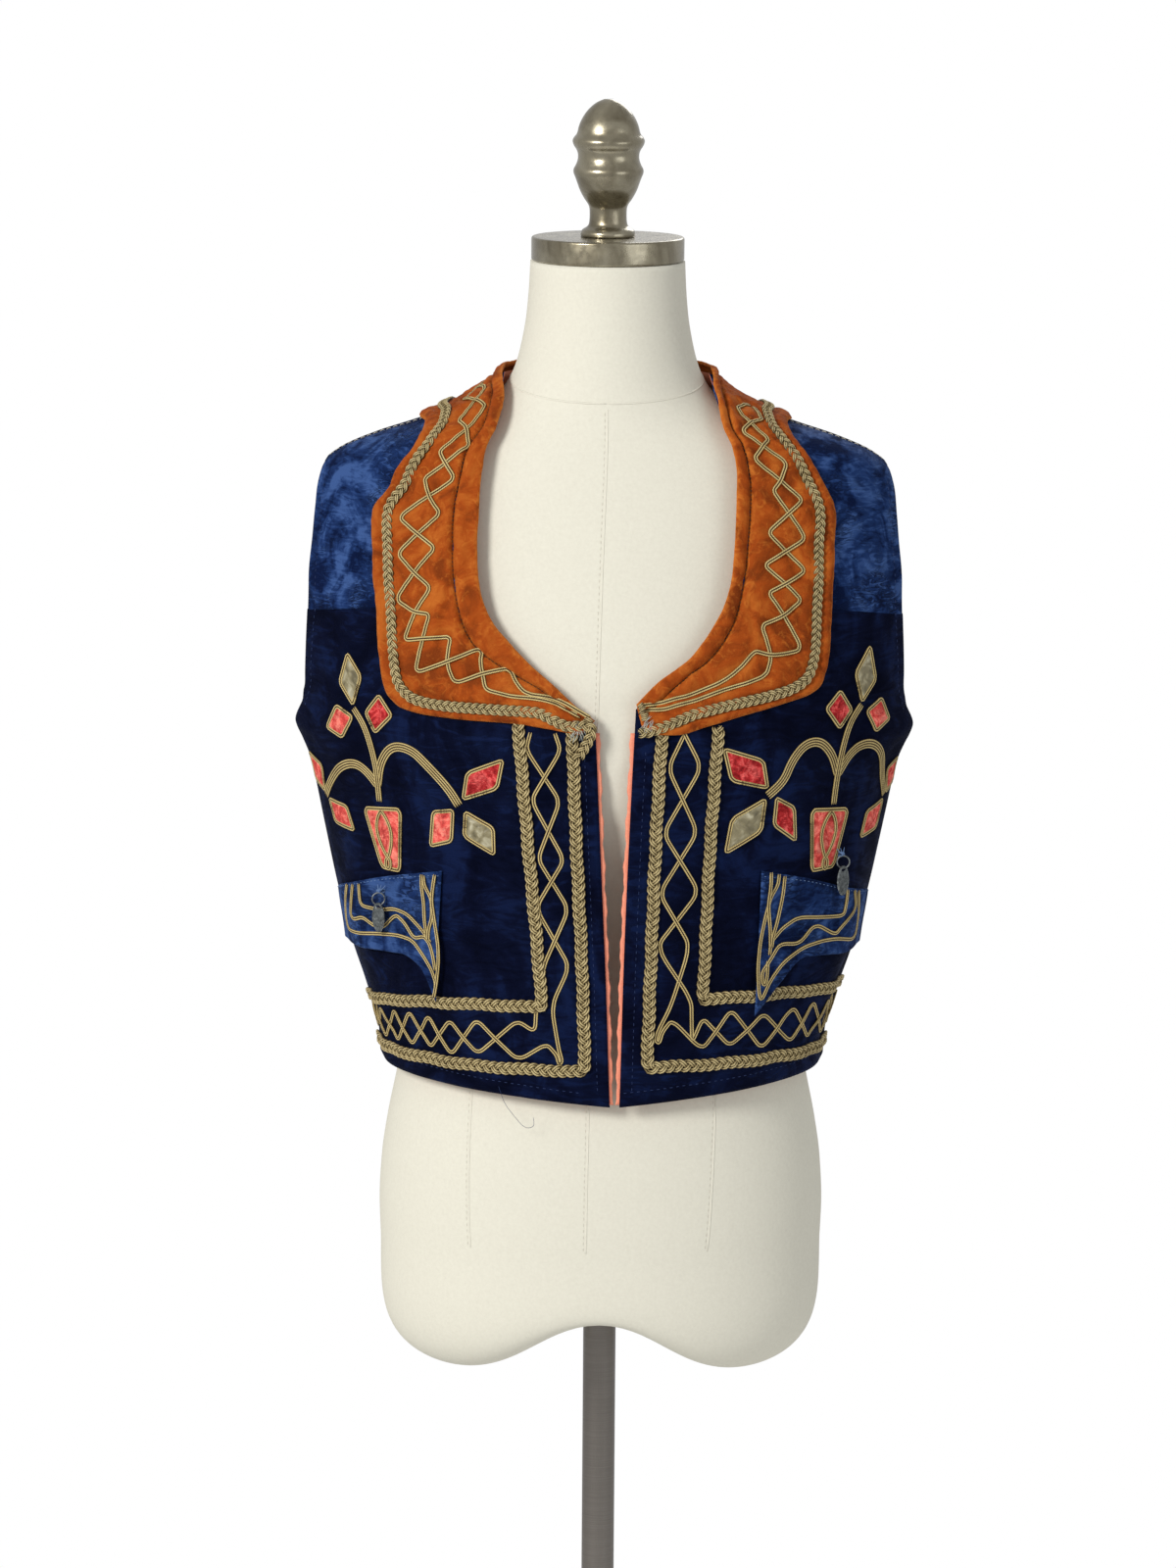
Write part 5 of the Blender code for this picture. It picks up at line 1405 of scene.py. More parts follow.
def collar_lift(side, along, share, cords=None):
    """The collar's padding: rolled edge, hollow beside the braid, band, creases and cords pulled in."""
    width = collar_width(side, along)
    from_edge = (1 - share) * width
    from_seam = (share - band_share(side, along)) * width
    lift = relief(from_edge, EDGE_RELIEF) + relief(from_seam, SEAM_RELIEF)
    lift = lift + 0.0006 * np.sin(along * 190 + share * 5) * np.sin(share * 14 + along * 37)
    lift = lift + 0.0003 * np.sin(along * 610 + share * 9) * np.sin(share * 31 - along * 120)
    for crease_side, a0, s0, a1, s1, half_width, height in COLLAR_CREASES:
        if crease_side in (0, side):
            w = float(collar_width(side, np.array([(a0 + a1) / 2]))[0])
            lift = lift + height * near_segment(along, share * w, a0, s0 * w, a1, s1 * w, half_width)
    if cords is not None:
        spots = on_face(*collar_spot(side, along, share), side).reshape(-1, 3)
        near = np.full(len(spots), 1.0)
        for start in range(0, len(cords), 60):
            away = np.linalg.norm(spots[:, None, :] - cords[None, start : start + 60, :], axis=-1)
            near = np.minimum(near, away.min(axis=1))
        lift = lift + relief(near.reshape(along.shape), CORD_RELIEF)
    return lift


def yoke_seam(share, side):
    """The seam between a front and its yoke, as turns and heights."""
    neck_turn, neck_height = neckline(np.array([SEAM_AT]), side, NECK_PULL)
    turn = neck_turn[0] + (YOKE_ARMHOLE_TURN - neck_turn[0]) * share
    return turn, neck_height[0] + (YOKE_ARMHOLE_HEIGHT - neck_height[0]) * share**1.1


def neckline(share, side, pull):
    """The neckline from the front point to the neck point of the shoulder, as turns and heights."""
    rows = collar_rows(side)
    at = NECK_POINT_ROW * share
    numbers = np.arange(len(rows), dtype=float)
    turn, height, to_turn, to_height = [smooth_curve(at, numbers, rows[:, k]) for k in range(4)]
    width = np.linalg.norm(on_face(turn, height, side) - on_face(to_turn, to_height, side), axis=-1)
    share_in = pull / width
    return turn + (to_turn - turn) * share_in, height + (to_height - height) * share_in


def armhole_turn(height, column):
    return table_at(ARMHOLE, height, column)


def between(foot, top, first, last, up, across):
    """Fills the space between four edges, each given as turns and heights."""
    result = []
    up = up[:, None]
    across = across[None, :]
    for k in range(2):
        a = (1 - up) * foot[k][None, :] + up * top[k][None, :]
        b = (1 - across) * first[k][:, None] + across * last[k][:, None]
        low = (1 - across) * foot[k][0] + across * foot[k][-1]
        high = (1 - across) * top[k][0] + across * top[k][-1]
        result.append(a + b - (1 - up) * low - up * high)
    return result


def front_grid(side):
    """A lower front's turns and heights, from its free edge to the side seam and the armhole."""
    rows, columns = FRONT_GRID
    share = np.linspace(0.0, 1.0, rows)
    top_turn, top_height = yoke_seam(np.linspace(0.0, 1.0, columns), side)
    top_height = top_height + SEAM_LAP
    point_height = collar_rows(side)[0, 1] - FRONT_POINT_DROP
    low = HEM_FRONT + (point_height - HEM_FRONT) * np.minimum(share / FRONT_POINT_SHARE, 1.0)
    along = np.clip((share - FRONT_POINT_SHARE) / (1 - FRONT_POINT_SHARE), 0, 1)
    neck_turn, neck_height = neckline(SEAM_AT * along, side, NECK_PULL)
    below = share <= FRONT_POINT_SHARE
    turn_in = np.where(below, edge_turn(low, side), neck_turn)
    height_in = np.where(below, low, neck_height)
    turn_in[-1] = top_turn[0]
    height_in[-1] = top_height[0]
    height_out = HEM_SIDE + (top_height[-1] - HEM_SIDE) * share
    turn_out = np.where(height_out < ARMHOLE[0][0], SIDE_SEAM_FRONT, armhole_turn(height_out, 1))
    across = np.linspace(0.0, 1.0, columns)[None, :]
    bow = 1 - (1 - across) ** HEM_BOW
    turn = turn_in[:, None] + (turn_out - turn_in)[:, None] * across
    height = height_in[:, None] + (height_out - height_in)[:, None] * bow
    blend = np.clip((share - 0.70) / 0.30, 0, 1)[:, None] ** 1.5
    turn = turn * (1 - blend) + blend * (turn - turn[-1:] + top_turn[None, :])
    return turn, height + blend * (top_height[None, :] - height[-1:])


def yoke_grid(side, rows=72, columns=64):
    """A shoulder yoke's turns and heights, from the seam across the chest up to the shoulder seam."""
    share = np.linspace(0.0, 1.0, rows)
    across = np.linspace(0.0, 1.0, columns)
    low_turn, low_height = yoke_seam(across, side)
    low_height = low_height - SEAM_LAP
    left_turn, left_height = neckline(SEAM_AT + (1 - SEAM_AT) * share, side, NECK_PULL)
    left_height[0] = low_height[0]
    right_height = low_height[-1] + (SHOULDER_FRONT - low_height[-1]) * share
    right_turn = armhole_turn(right_height, 1)
    top_turn = left_turn[-1] + (right_turn[-1] - left_turn[-1]) * across
    top_height = left_height[-1] + (right_height[-1] - left_height[-1]) * across
    foot, top = (low_turn, low_height), (top_turn, top_height)
    return between(foot, top, (left_turn, left_height), (right_turn, right_height), share, across)


def back_grid():
    """One half of the back's turns and heights, from the centre back to the side seam and the armhole."""
    rows, half = BACK_GRID
    share = np.linspace(0.0, 1.0, rows)
    across = np.linspace(0.0, 1.0, half)
    side_height = HEM_SIDE + (SHOULDER_BACK - HEM_SIDE) * share
    side_turn = np.where(side_height < ARMHOLE[0][0], SIDE_SEAM_BACK, armhole_turn(side_height, 2))
    side_turn[-1] = BACK_NECK_TURN
    top_turn = np.interp(across, [0.0, BACK_NECK_SHARE, 1.0], [2.0, BACK_NECK_TURN, side_turn[-1]])
    top_height = np.interp(
        across, [0.0, BACK_NECK_SHARE, 1.0], [BACK_NECK_CENTRE, BACK_NECK_HEIGHT, side_height[-1]]
    )
    foot = (2.0 + (side_turn[0] - 2.0) * across, np.full(half, HEM_SIDE))
    centre = (np.full(rows, 2.0), HEM_SIDE + (BACK_NECK_CENTRE - HEM_SIDE) * share)
    return between(foot, (top_turn, top_height), centre, (side_turn, side_height), share, across)


def make_panel(part, side, word, grid, reach, look):
    """A lower front or a yoke, with the lining's colour inside."""
    turn, height = grid(side)
    finish, inside = LOOKS[look], LOOKS["lining_coral"]
    made = layer(part + "_panel_" + word, turn, height, side, 0.0, VELVET, reach, finish, inside)
    return ride(made, replaces=(part + "_" + word,))


def make_back():
    halves = [face_route(*back_grid(), side, -VELVET / 2) for side in (-1, 1)]
    middle, normal = [np.concatenate([right[:, :0:-1], left], axis=1) for right, left in zip(*halves)]
    finish, inside = LOOKS["velvet_navy"], LOOKS["lining_coral"]
    made = shell("back_panel", middle, normal, VELVET, FRONT_ROLL, finish, inside)
    return ride(made, replaces=("back",))


def collar_shares(side, along, first, last, count):
    """Shares across the collar, evenly from one line to another. A line is the band's seam or an edge."""
    seam = band_share(side, along)[:, None]
    low = seam if first is None else np.full_like(seam, first)
    high = seam if last is None else np.full_like(seam, last)
    return low + (high - low) * np.linspace(0, 1, count)[None, :]


def make_collar_piece(side, name, first, last, grid, node, cords=None):
    """The collar or its neck band, padded and creased."""
    rows, columns = grid
    total = collar_lengths(side)[-1]
    along = np.linspace(0.0, total * COLLAR_END, rows)
    share = collar_shares(side, along, first, last, columns)
    spread = np.broadcast_to(along[:, None], share.shape)
    turn, height = collar_spot(side, spread, share)
    lift = collar_lift(side, spread, share, cords)
    middle, normals = face_route(turn, height, side, COLLAR_OUT - COLLAR_THICK / 2)
    middle = middle + normals * lift[..., None]
    made = shell(name, middle, normals, COLLAR_THICK, COLLAR_ROLL, LOOKS["velvet_orange"])
    # Wear along the collar's edges, which the orange velvet shows rubbed golden
    wear_and_painted_light = 1 - round_edges(middle, COLLAR_WORN)
    spots = np.concatenate([wear_and_painted_light.reshape(-1), wear_and_painted_light[:, ::-1].reshape(-1)])
    corners = np.zeros(len(made.data.loops), int)
    made.data.loops.foreach_get("vertex_index", corners)
    spread_map = np.stack([np.zeros(len(corners)), spots[corners]], axis=1)
    made.data.uv_layers["strand"].data.foreach_set("uv", spread_map.astype(np.float32).reshape(-1))
    return ride(made, replaces=(node,))


def make_lining(side, word):
    heights = np.linspace(LINING_FOOT, LINING_TOP, 110)[:, None]
    edge = edge_distance(heights, side)
    reach = np.linspace(-LINING_SHOWS, LINING_HIDDEN, 12)[None, :]
    ripple = 0.0005 * np.sin(heights * 210.0) + 0.0003 * np.sin(heights * 570.0)
    turn = turn_of(edge + reach + ripple * (reach < 0.001), heights)
    height = np.broadcast_to(heights, turn.shape)
    sizes = (LINING_OUT, LINING_THICK, LINING_THICK)
    made = layer("lining_fold_" + word, turn, height, side, *sizes, LOOKS["lining_coral"])
    return ride(made, replaces=("lining_edge_" + word,))


# ---- pocket flaps ----


def flap_spot(side, across, down):
    """A flap's point at a share across from its inside and a share down from its top."""
    top = np.array(FLAP_TOPS[side])
    foot = np.array(FLAP_FEET[side])
    top_x = top[0, 0] + (top[-1, 0] - top[0, 0]) * across
    foot_x = foot[0, 0] + (foot[-1, 0] - foot[0, 0]) * across
    top_z = smooth_curve(top_x, top[:, 0], top[:, 1])
    foot_z = smooth_curve(foot_x, foot[:, 0], foot[:, 1])
    distance = top_x + (foot_x - top_x) * down
    height = top_z + (foot_z - top_z) * down
    puff = 0.0006 * np.sin(across * 9 + down * 2) * np.sin(down * 3.1)
    return turn_of(distance, height), height, FLAP_OUT + FLAP_LIFT * down + puff


def make_flap(side, word):
    across, down = np.meshgrid(np.linspace(0, 1, 84), np.linspace(0, 1, 56))
    turn, height, out = flap_spot(side, across, down)
    made = layer("flap_panel_" + word, turn, height, side, out, FLAP_THICK, 0.0016, LOOKS["velvet_blue"])
    return ride(made, replaces=("flap_" + word,))


def make_flap_cords(side, word):
    pile = Pile()
    top = np.array(FLAP_TOPS[side])
    foot = np.array(FLAP_FEET[side])
    for number, route in enumerate(FLAP_CORDS[side]):
        route = dense(soften(route, 2, 0.18), 160)
        high = smooth_curve(route[:, 0], top[:, 0], top[:, 1])
        low = smooth_curve(route[:, 0], foot[:, 0], foot[:, 1])
        down = np.clip((high - route[:, 1]) / (high - low), 0, 1)
        out = FLAP_OUT + FLAP_LIFT * down + 0.0002 + 0.00022 * number
        centre, normals = vest_route(route[:, 0], route[:, 1], side, out)
        lay_strands(pile, centre, normals, apart=NARROW_APART, half=NARROW_HALF)
    return cords_made(pile, "flap_cords_" + word)


# ---- braids and cords ----


def plait(name, centre, normals, half_width, half_height, pitch=PLAIT_PITCH):
    """A flat plait of three strands along a line on the cloth."""
    at, (line, line_normals) = evenly(centre, PLAIT_STEP, (normals,))
    across, up = flat_normals(line, unit(line_normals))
    pile = Pile()
    thread_half = half_width * 0.160
    wave = half_width - 2.1 * thread_half
    thread_rise = half_height * 0.42
    for k in range(3):
        phase = 2 * math.pi * (at / pitch + k / 3)
        uneven = 1 + 0.05 * np.sin(at * 310 + k * 2)
        sideways = wave * uneven * np.sin(phase)
        rise = half_height * (0.75 - 0.62 * np.sin(2 * phase))
        path = line + across * sideways[:, None] + up * rise[:, None]
        own_across, own_up = flat_normals(path, up)
        for shift in (-1.0, 1.0):
            thread = path + own_across * shift * thread_half * 1.02
            # Painted light: low (painted shade) where the strand dips under the others, high (painted
            # highlight) where it rides on top
            wear = 0.5 - 0.5 * np.sin(2 * phase)
            pile.tube(thread, own_across, own_up, thread_half, thread_rise, wear=wear)
    return pile.build(name, LOOKS["braid_gold"])


def front_braid_line(row):
    """Distance from the centre front and height along a braid, down the front and on to the side seam."""
    side, from_edge, from_edge_foot, hem, hem_end, top = row
    heights = np.linspace(top + BRAID_TUCK, hem, 30)
    inset = np.linspace(from_edge, from_edge_foot, 30)
    down = np.stack([edge_distance(heights, side) + inset, heights], axis=1)
    end = HEM_BRAID_END * float(quarter_at(hem_end))
    along = np.linspace(0.0, 1.0, 40)[1:]
    start = down[-1, 0]
    level = np.stack([start + (end - start) * along, hem + (hem_end - hem) * along**2], axis=1)
    line = np.concatenate([down, level])
    return line + 0.0004 * np.stack([np.sin(line[:, 1] * 160), np.sin(line[:, 0] * 150)], axis=1)


def make_front_braid(name, row):
    side = row[0]
    line = soften(front_braid_line(row), 3)
    centre, normals = vest_route(line[:, 0], line[:, 1], side, 0.0001)
    made = plait("plait_" + name, centre, normals, *PLAIT_HALF)
    return ride(made, replaces=("braid_" + name,))


def collar_route(side, along, share, out):
    """Points on the collar's padded face, and its normals."""
    turn, height = collar_spot(side, along, share)
    spots, normals = face_route(turn, height, side, COLLAR_OUT + out)
    return spots + normals * collar_lift(side, along, share)[:, None], normals


def make_collar_braid(side, word):
    total = collar_lengths(side)[-1]
    along = np.linspace(BRAID_TIP_START, total * COLLAR_END, 700)
    share = np.maximum(1 - COLLAR_BRAID_INSET / collar_width(side, along), 0.48)
    turn, height = collar_spot(side, along, share)
    run = np.stack([turn * quarter_at(height), height], axis=1)
    tip = soften(np.concatenate([BRAID_TIPS[side], run[:1]]), 3)
    run = np.concatenate([dense(tip, 60)[:-1], run])
    turn, height = turn_of(run[:, 0], run[:, 1]), run[:, 1]
    near_tip = np.linalg.norm(run - run[0], axis=1)
    rise = TIP_RISE[side] * np.exp(-((near_tip / 0.030) ** 4))
    centre, normals = face_route(turn, height, side, COLLAR_OUT + 0.0001 + rise)
    made = plait("plait_collar_" + word, centre, normals, *COLLAR_PLAIT_HALF, COLLAR_PLAIT_PITCH)
    return ride(made, replaces=("collar_braid_" + word,))


def interlace(rows):
    """Two lines that change sides at every row of (position, near corner, far corner). Where they cross,
    one rises over the other, in turn. Each point is position, value, rise."""
    lines = ([], [])
    for number, (position, near, far) in enumerate(rows):
        if number:
            before, before_near, before_far = rows[number - 1]
            gap = before_far - before_near
            share = gap / (gap + far - near)
            middle = before + (position - before) * share
            value = before_near + (far - before_near) * share
            for which in (0, 1):
                lines[which].append((middle, value, float((number + which) % 2)))
        for which in (0, 1):
            lines[which].append((position, (near, far)[(number + which) % 2], 0.0))
    return [np.array(line) for line in lines]


def dense(line, count=500):
    """A line read off at even steps of its first two columns."""
    lengths = lengths_along(line[:, :2])
    return sample(np.linspace(0, lengths[-1], count), lengths, line)


def collar_lattice_lines(side):
    """The two cords' lines across a collar: distance along, share across, rise."""
    rows = COLLAR_LATTICE[side]
    table = [(along, inner, outer) for along, inner, outer, _ in rows]
    lines = interlace(table)
    slants = [row[3] for row in rows]
    result = []
    for which, line in enumerate(lines):
        line = line.copy()
        for number in range(len(rows)):
            far = (number + which) % 2
            line[2 * number, 0] += slants[number] * (-0.5 if far else 0.5)
        front = np.array([(a, s, 0.0) for a, s in LATTICE_FRONT_ENDS[side][which]])
        shoulder = np.array([(a, s, 0.0) for a, s in LATTICE_SHOULDER_ENDS[side][which]])
        result.append(np.concatenate([front, line, shoulder]))
    return result


def scaled_soften(line):
    """Rounds a line whose second column is a share of the collar's width."""
    scale = np.array([1.0, COLLAR_WIDTH, 1.0])
    return dense(soften(line * scale, 3, 0.13)) / scale


def lattice_spots(side):
    """Points on the vest's face under the collar's lattice."""
    spots = []
    for line in collar_lattice_lines(side):
        line = scaled_soften(line)[::3]
        spots.append(on_face(*collar_spot(side, line[:, 0], line[:, 1]), side))
    return np.concatenate(spots)


def make_collar_lattice(side, word):
    pile = Pile()
    for line in collar_lattice_lines(side):
        line = scaled_soften(line)
        route = collar_route(side, line[:, 0], line[:, 1], -0.0004)
        lay_strands(pile, *route, lift=line[:, 2] * CROSS_LIFT)
    return cords_made(pile, "lattice_collar_" + word)


def make_front_lattice(side, word):
    """The two cords that cross down the front, turn the corner and cross along the hem."""
    down = interlace(FRONT_LATTICE[side])
    along = interlace(HEM_LATTICE[side])
    pile = Pile()
    for which in (0, 1):
        first = down[which][:, [1, 0, 2]]
        middle = (down[0][0, 1] + down[1][0, 1]) / 2
        tuck = np.array([[first[0, 0] + (middle - first[0, 0]) * 0.30, first[0, 1] + LATTICE_TUCK, 0.0]])
        first = np.concatenate([tuck, first])
        corner = np.array([(d, h, 0.0) for d, h in CORNER_TURNS[side][which]])
        line = np.concatenate([first, corner, along[which if side < 0 else 1 - which]])
        upward = 1 if line[-1, 1] < HEM_LATTICE_MIDDLE else -1
        last = np.array([[HEM_LATTICE_END, line[-1, 1] + HEM_LATTICE_RUN * upward, 0.0]])
        line = dense(soften(np.concatenate([line, last]), 3, 0.17), 900)
        distance = line[:, 0] + edge_distance(line[:, 1], side)
        centre, normals = vest_route(distance, line[:, 1], side, 0.0)
        lay_strands(pile, centre, normals, 2, line[:, 2] * CROSS_LIFT, LATTICE_APART, LATTICE_HALF)
    return cords_made(pile, "lattice_front_" + word)


# ---- the flower ----


def petal_outline(row):
    """A petal's four corners rounded into a closed line of distances and heights."""
    _, root_x, root_z, tip_x, tip_z, first, first_at, second, second_at, _ = row
    root = np.array([root_x, root_z])
    tip = np.array([tip_x, tip_z])
    along = tip - root
    tip = tip + along * PETAL_STRETCH
    sideways = np.array([-along[1], along[0]]) / np.linalg.norm(along)
    first_corner = root + along * first_at + sideways * first * PETAL_SPREAD
    second_corner = root + along * second_at - sideways * second * PETAL_SPREAD
    corners = [root, first_corner, tip, second_corner]
    return soften_loop(corners, 0.10)


def pot_outline(row):
    _, top_x, top_z, foot_x, foot_z, half_top, half_foot = row
    corners = [
        (top_x - half_top, top_z + 0.0010),
        (foot_x - half_foot, foot_z),
        (foot_x + half_foot, foot_z + 0.0012),
        (top_x + half_top, top_z - 0.0020),
    ]
    return soften_loop(corners, 0.09)


def inset_loop(outline, distance):
    """A closed line moved towards its middle."""
    ahead = unit(np.roll(outline, -1, axis=0) - np.roll(outline, 1, axis=0))
    inward = np.stack([-ahead[:, 1], ahead[:, 0]], axis=1)
    area = np.sum(outline[:, 0] * np.roll(outline[:, 1], -1) - outline[:, 1] * np.roll(outline[:, 0], -1))
    return outline + inward * distance * np.sign(area)


def make_patch(name, outline, side, slot, node):
    """A domed scrap of cloth inside an outline."""
    middle = outline.mean(axis=0)
    outline = inset_loop(outline, PATCH_IN)
    at = np.linspace(0, len(outline), 73)[:-1]
    outline = sample(at, np.arange(len(outline) + 1), np.concatenate([outline, outline[:1]]))
    shares = np.array([0.02, 0.14, 0.28, 0.42, 0.56, 0.70, 0.82, 0.92, 0.98, 1.0])
    flat = middle + (outline[None, :, :] - middle) * shares[:, None, None]
    flat = np.concatenate([flat, flat[:, :1]], axis=1)
    dome = PATCH_DOME * (1 - shares**3)[:, None]
    pucker = 0.00035 * np.sin(flat[..., 0] * 900) * np.sin(flat[..., 1] * 1100) * (1 - shares**6)[:, None]
    turn = turn_of(flat[..., 0], flat[..., 1])
    out = PATCH_OUT - PATCH_THICK * 0.3 + dome + pucker
    out[-1] = 0.0002
    top, foot = [place(turn, flat[..., 1], side, off) for off in (out, np.full_like(out, PATCH_SUNK))]
    pile = Pile()
    start = pile.grid(top[:, :-1], wrap=True)
    back = pile.grid(foot[::-1, :-1], wrap=True)
    count = top.shape[1] - 1
    rows = len(shares)
    last = (rows - 1) * count
    for k in range(count):
        n = (k + 1) % count
        pile.loose.append([start + last + k, back + k, back + n, start + last + n][::-1])
    pile.close(start, count, True)
    pile.close(back + last, count)
    made = ride(turn_out(pile.build("patch_" + name, LOOKS[slot])), replaces=(node,))
    return made, outline


def outline_cord(pile, outline, side):
    """A cord round a patch, its ends meeting at the first point."""
    line = inset_loop(outline, OUTLINE_CORD_IN)
    line = dense(np.concatenate([line, line[:2]]), 260)
    lay_strands(pile, *vest_route(line[:, 0], line[:, 1], side, OUTLINE_CORD_OUT))


def make_flower(side, word):
    """Petals and pot, and the cords that edge them and make the stem and stalks."""
    patches = []
    pile = Pile()
    for name, row in PETALS.items():
        if row[0] == side:
            outline = petal_outline(row)
            patches.append(make_patch(name, outline, side, row[-1], name))
            outline_cord(pile, outline, side)
    pot = POTS["pot_" + word]
    outline = pot_outline(pot)
    patches.append(make_patch("pot_" + word, outline, side, "velvet_coral", "pot_" + word))
    outline_cord(pile, outline, side)
    for stalk_side, strands, points in STALKS:
        if stalk_side == side:
            line = dense(soften(points, 3), 200)
            out = STALK_OUT if strands == 4 else STEM_OUT
            lay_strands(pile, *vest_route(line[:, 0], line[:, 1], side, out), strands)
    lens = pot_lens(pot)
    centre, normals = vest_route(lens[:, 0], lens[:, 1], side, PATCH_OUT + 0.0004)
    lay_strands(pile, centre, normals, apart=NARROW_APART, half=NARROW_HALF)
    return cords_made(pile, "flower_cords_" + word), patches


def pot_lens(pot):
    """The loop on a pot: two bowed sides that meet in a small eye near its foot."""
    _, top_x, top_z, foot_x, foot_z, half_top, _ = pot
    share = np.linspace(0, 1, 40)
    middle_x = top_x + (foot_x - top_x) * share * 0.78
    z = top_z - 0.0030 + (foot_z - top_z) * share * 0.72
    bow = half_top * 0.42 * np.sin(math.pi * share) ** 0.8 * (1 - 0.35 * share)
    left = np.stack([middle_x - bow, z], axis=1)
    right = np.stack([middle_x + bow, z], axis=1)[::-1]
    angles = np.linspace(0.15 * math.pi, 1.85 * math.pi, 26)
    eye = np.stack(
        [middle_x[-1] + 0.0021 * np.sin(angles), z[-1] - 0.0042 + 0.0042 * np.cos(angles)], axis=1
    )
    return dense(np.concatenate([left, eye, right]), 260)
# ---- stitches and threads ----


def dashes(pile, line, normals, length, gap, radius):
    """Stitches along a line: each rises out of the cloth, lies on it and goes back in."""
    at, (even, even_normals) = evenly(line, 0.0004, (normals,))
    even_normals = unit(even_normals)
    start = gap
    while start + length < at[-1]:
        spots = np.linspace(start, start + length, 5)
        centre = sample(spots, at, even)
        up = unit(sample(spots, at, even_normals))
        rise = np.array([-1.2, 0.4, 0.7, 0.4, -1.2]) * radius
        across, own_up = flat_normals(centre, up)
        pile.tube(centre + up * rise[:, None], across, own_up, radius, radius, 5, (0.7,))
        start += length + gap


def stitched(name, routes):
    """Stitches along lines given with their normals."""
    length, gap, radius, look, slot = STITCHES[name]
    pile = Pile()
    for line, normals in routes:
        dashes(pile, line, normals, length, gap, radius)
    ride(pile.build(name, LOOKS[look]))


def make_stitches():
    """Rows of stitches inside the edges, along the seams and on the flaps' tops."""
    edges = []
    tops = []
    seams = []
    bands = []
    for side, _ in SIDES:
        heights = np.linspace(1.185, 0.934, 80)
        edges.append(vest_route(edge_distance(heights, side) + EDGE_STITCH_IN, heights, side, 0.0))
        turns = np.linspace(0.06, 1.0, 120)
        share = np.linspace(0, 1, 120)
        hem = HEM_FRONT + (HEM_SIDE - HEM_FRONT) * (1 - (1 - share) ** HEM_BOW) + HEM_STITCH_UP
        edges.append(face_route(turns, hem, side, 0.0))
        back = np.linspace(1.03, 2.0, 120)
        level = np.full(120, HEM_SIDE + HEM_STITCH_UP)
        edges.append(face_route(back, level, side, 0.0))
        for column, inset in ((1, -ARMHOLE_STITCH_IN), (2, ARMHOLE_STITCH_IN)):
            heights = np.linspace(ARMHOLE[0][0] + 0.018, 1.366, 90)
            turns = armhole_turn(heights, column) + inset
            edges.append(face_route(turns, heights, side, 0.0))
        turn, height, out = flap_spot(side, np.linspace(0.0, 1.0, 100), np.full(100, 0.035))
        tops.append(face_route(turn, height, side, out))
        turn, height = yoke_grid(side, 3, 80)
        seams.append((place(turn[-1], height[-1] - 0.001, side, 0.0), outward(turn[-1], height[-1], side)))
        along = np.linspace(0.03, collar_lengths(side)[-1] * 0.99, 700)
        bands.append(collar_route(side, along, band_share(side, along), 0.0002))
    for name, routes in zip(STITCHES, (edges, tops, seams, bands)):
        stitched(name, routes)


def loose_thread(pile, start, ways, radius):
    """A fine thread through a few points away from its start."""
    points = soften([start] + [start + np.array(way) for way in ways], 3)
    _, (line,) = evenly(points, 0.0006)
    pile.strand(line, unit(np.array([0.0, -1.0, 0.2])), radius, radius, 5)


def make_frays():
    """Threads that came loose at the front points, on the braid and at the hem."""
    rng = np.random.default_rng(7)
    pile = Pile()
    for side, count, along, reach in FRAYS:
        spot, normal = collar_route(side, np.array([along]), np.array([0.55]), 0.0016)
        for _ in range(count):
            shift = rng.uniform(-0.0034, 0.0034, 2)
            start = spot[0] + np.array([shift[0], 0.0, shift[1]]) + normal[0] * rng.uniform(-0.0004, 0.0014)
            drop = rng.uniform(0.4, 1.0) * reach
            sway = rng.uniform(-0.4, 0.4) * drop
            ways = (
                (-side * 0.0012 + sway * 0.3, -0.0010, -drop * 0.35),
                (-side * 0.0022 + sway, -0.0014 + rng.uniform(-0.0006, 0.0006), -drop * 0.7),
                (-side * 0.0018 + sway * 1.6, -0.0006, -drop),
            )
            loose_thread(pile, start, ways, rng.uniform(0.00014, 0.00026))
    ride(pile.build("frayed_ends", LOOKS["thread_silver"]))
    pile = Pile()
    start = vest_route(np.array([0.075]), np.array([0.936]), -1, 0.0004)[0][0]
    loose_thread(pile, start, HEM_THREAD, 0.00016)
    ride(pile.build("hem_thread", LOOKS["thread_navy"]))


def make_end_wraps(side, word):
    """The cords' ends bound down at the front point of the collar."""
    pile = Pile()
    for number, share in enumerate((0.10, 0.20, 0.30, 0.40, 0.50)):
        along = np.linspace(0.0010, 0.0062, 12) + 0.0006 * (number % 2)
        centre, normals = collar_route(side, along, np.full(12, share), 0.0004)
        hump = np.sin(np.linspace(0, math.pi, 12)) * WRAP_HUMP
        lay_strands(pile, centre + normals * hump[:, None], normals, apart=WRAP_APART, half=WRAP_HALF)
    return cords_made(pile, "bound_ends_" + word, "braid_gold")


# ---- charms ----


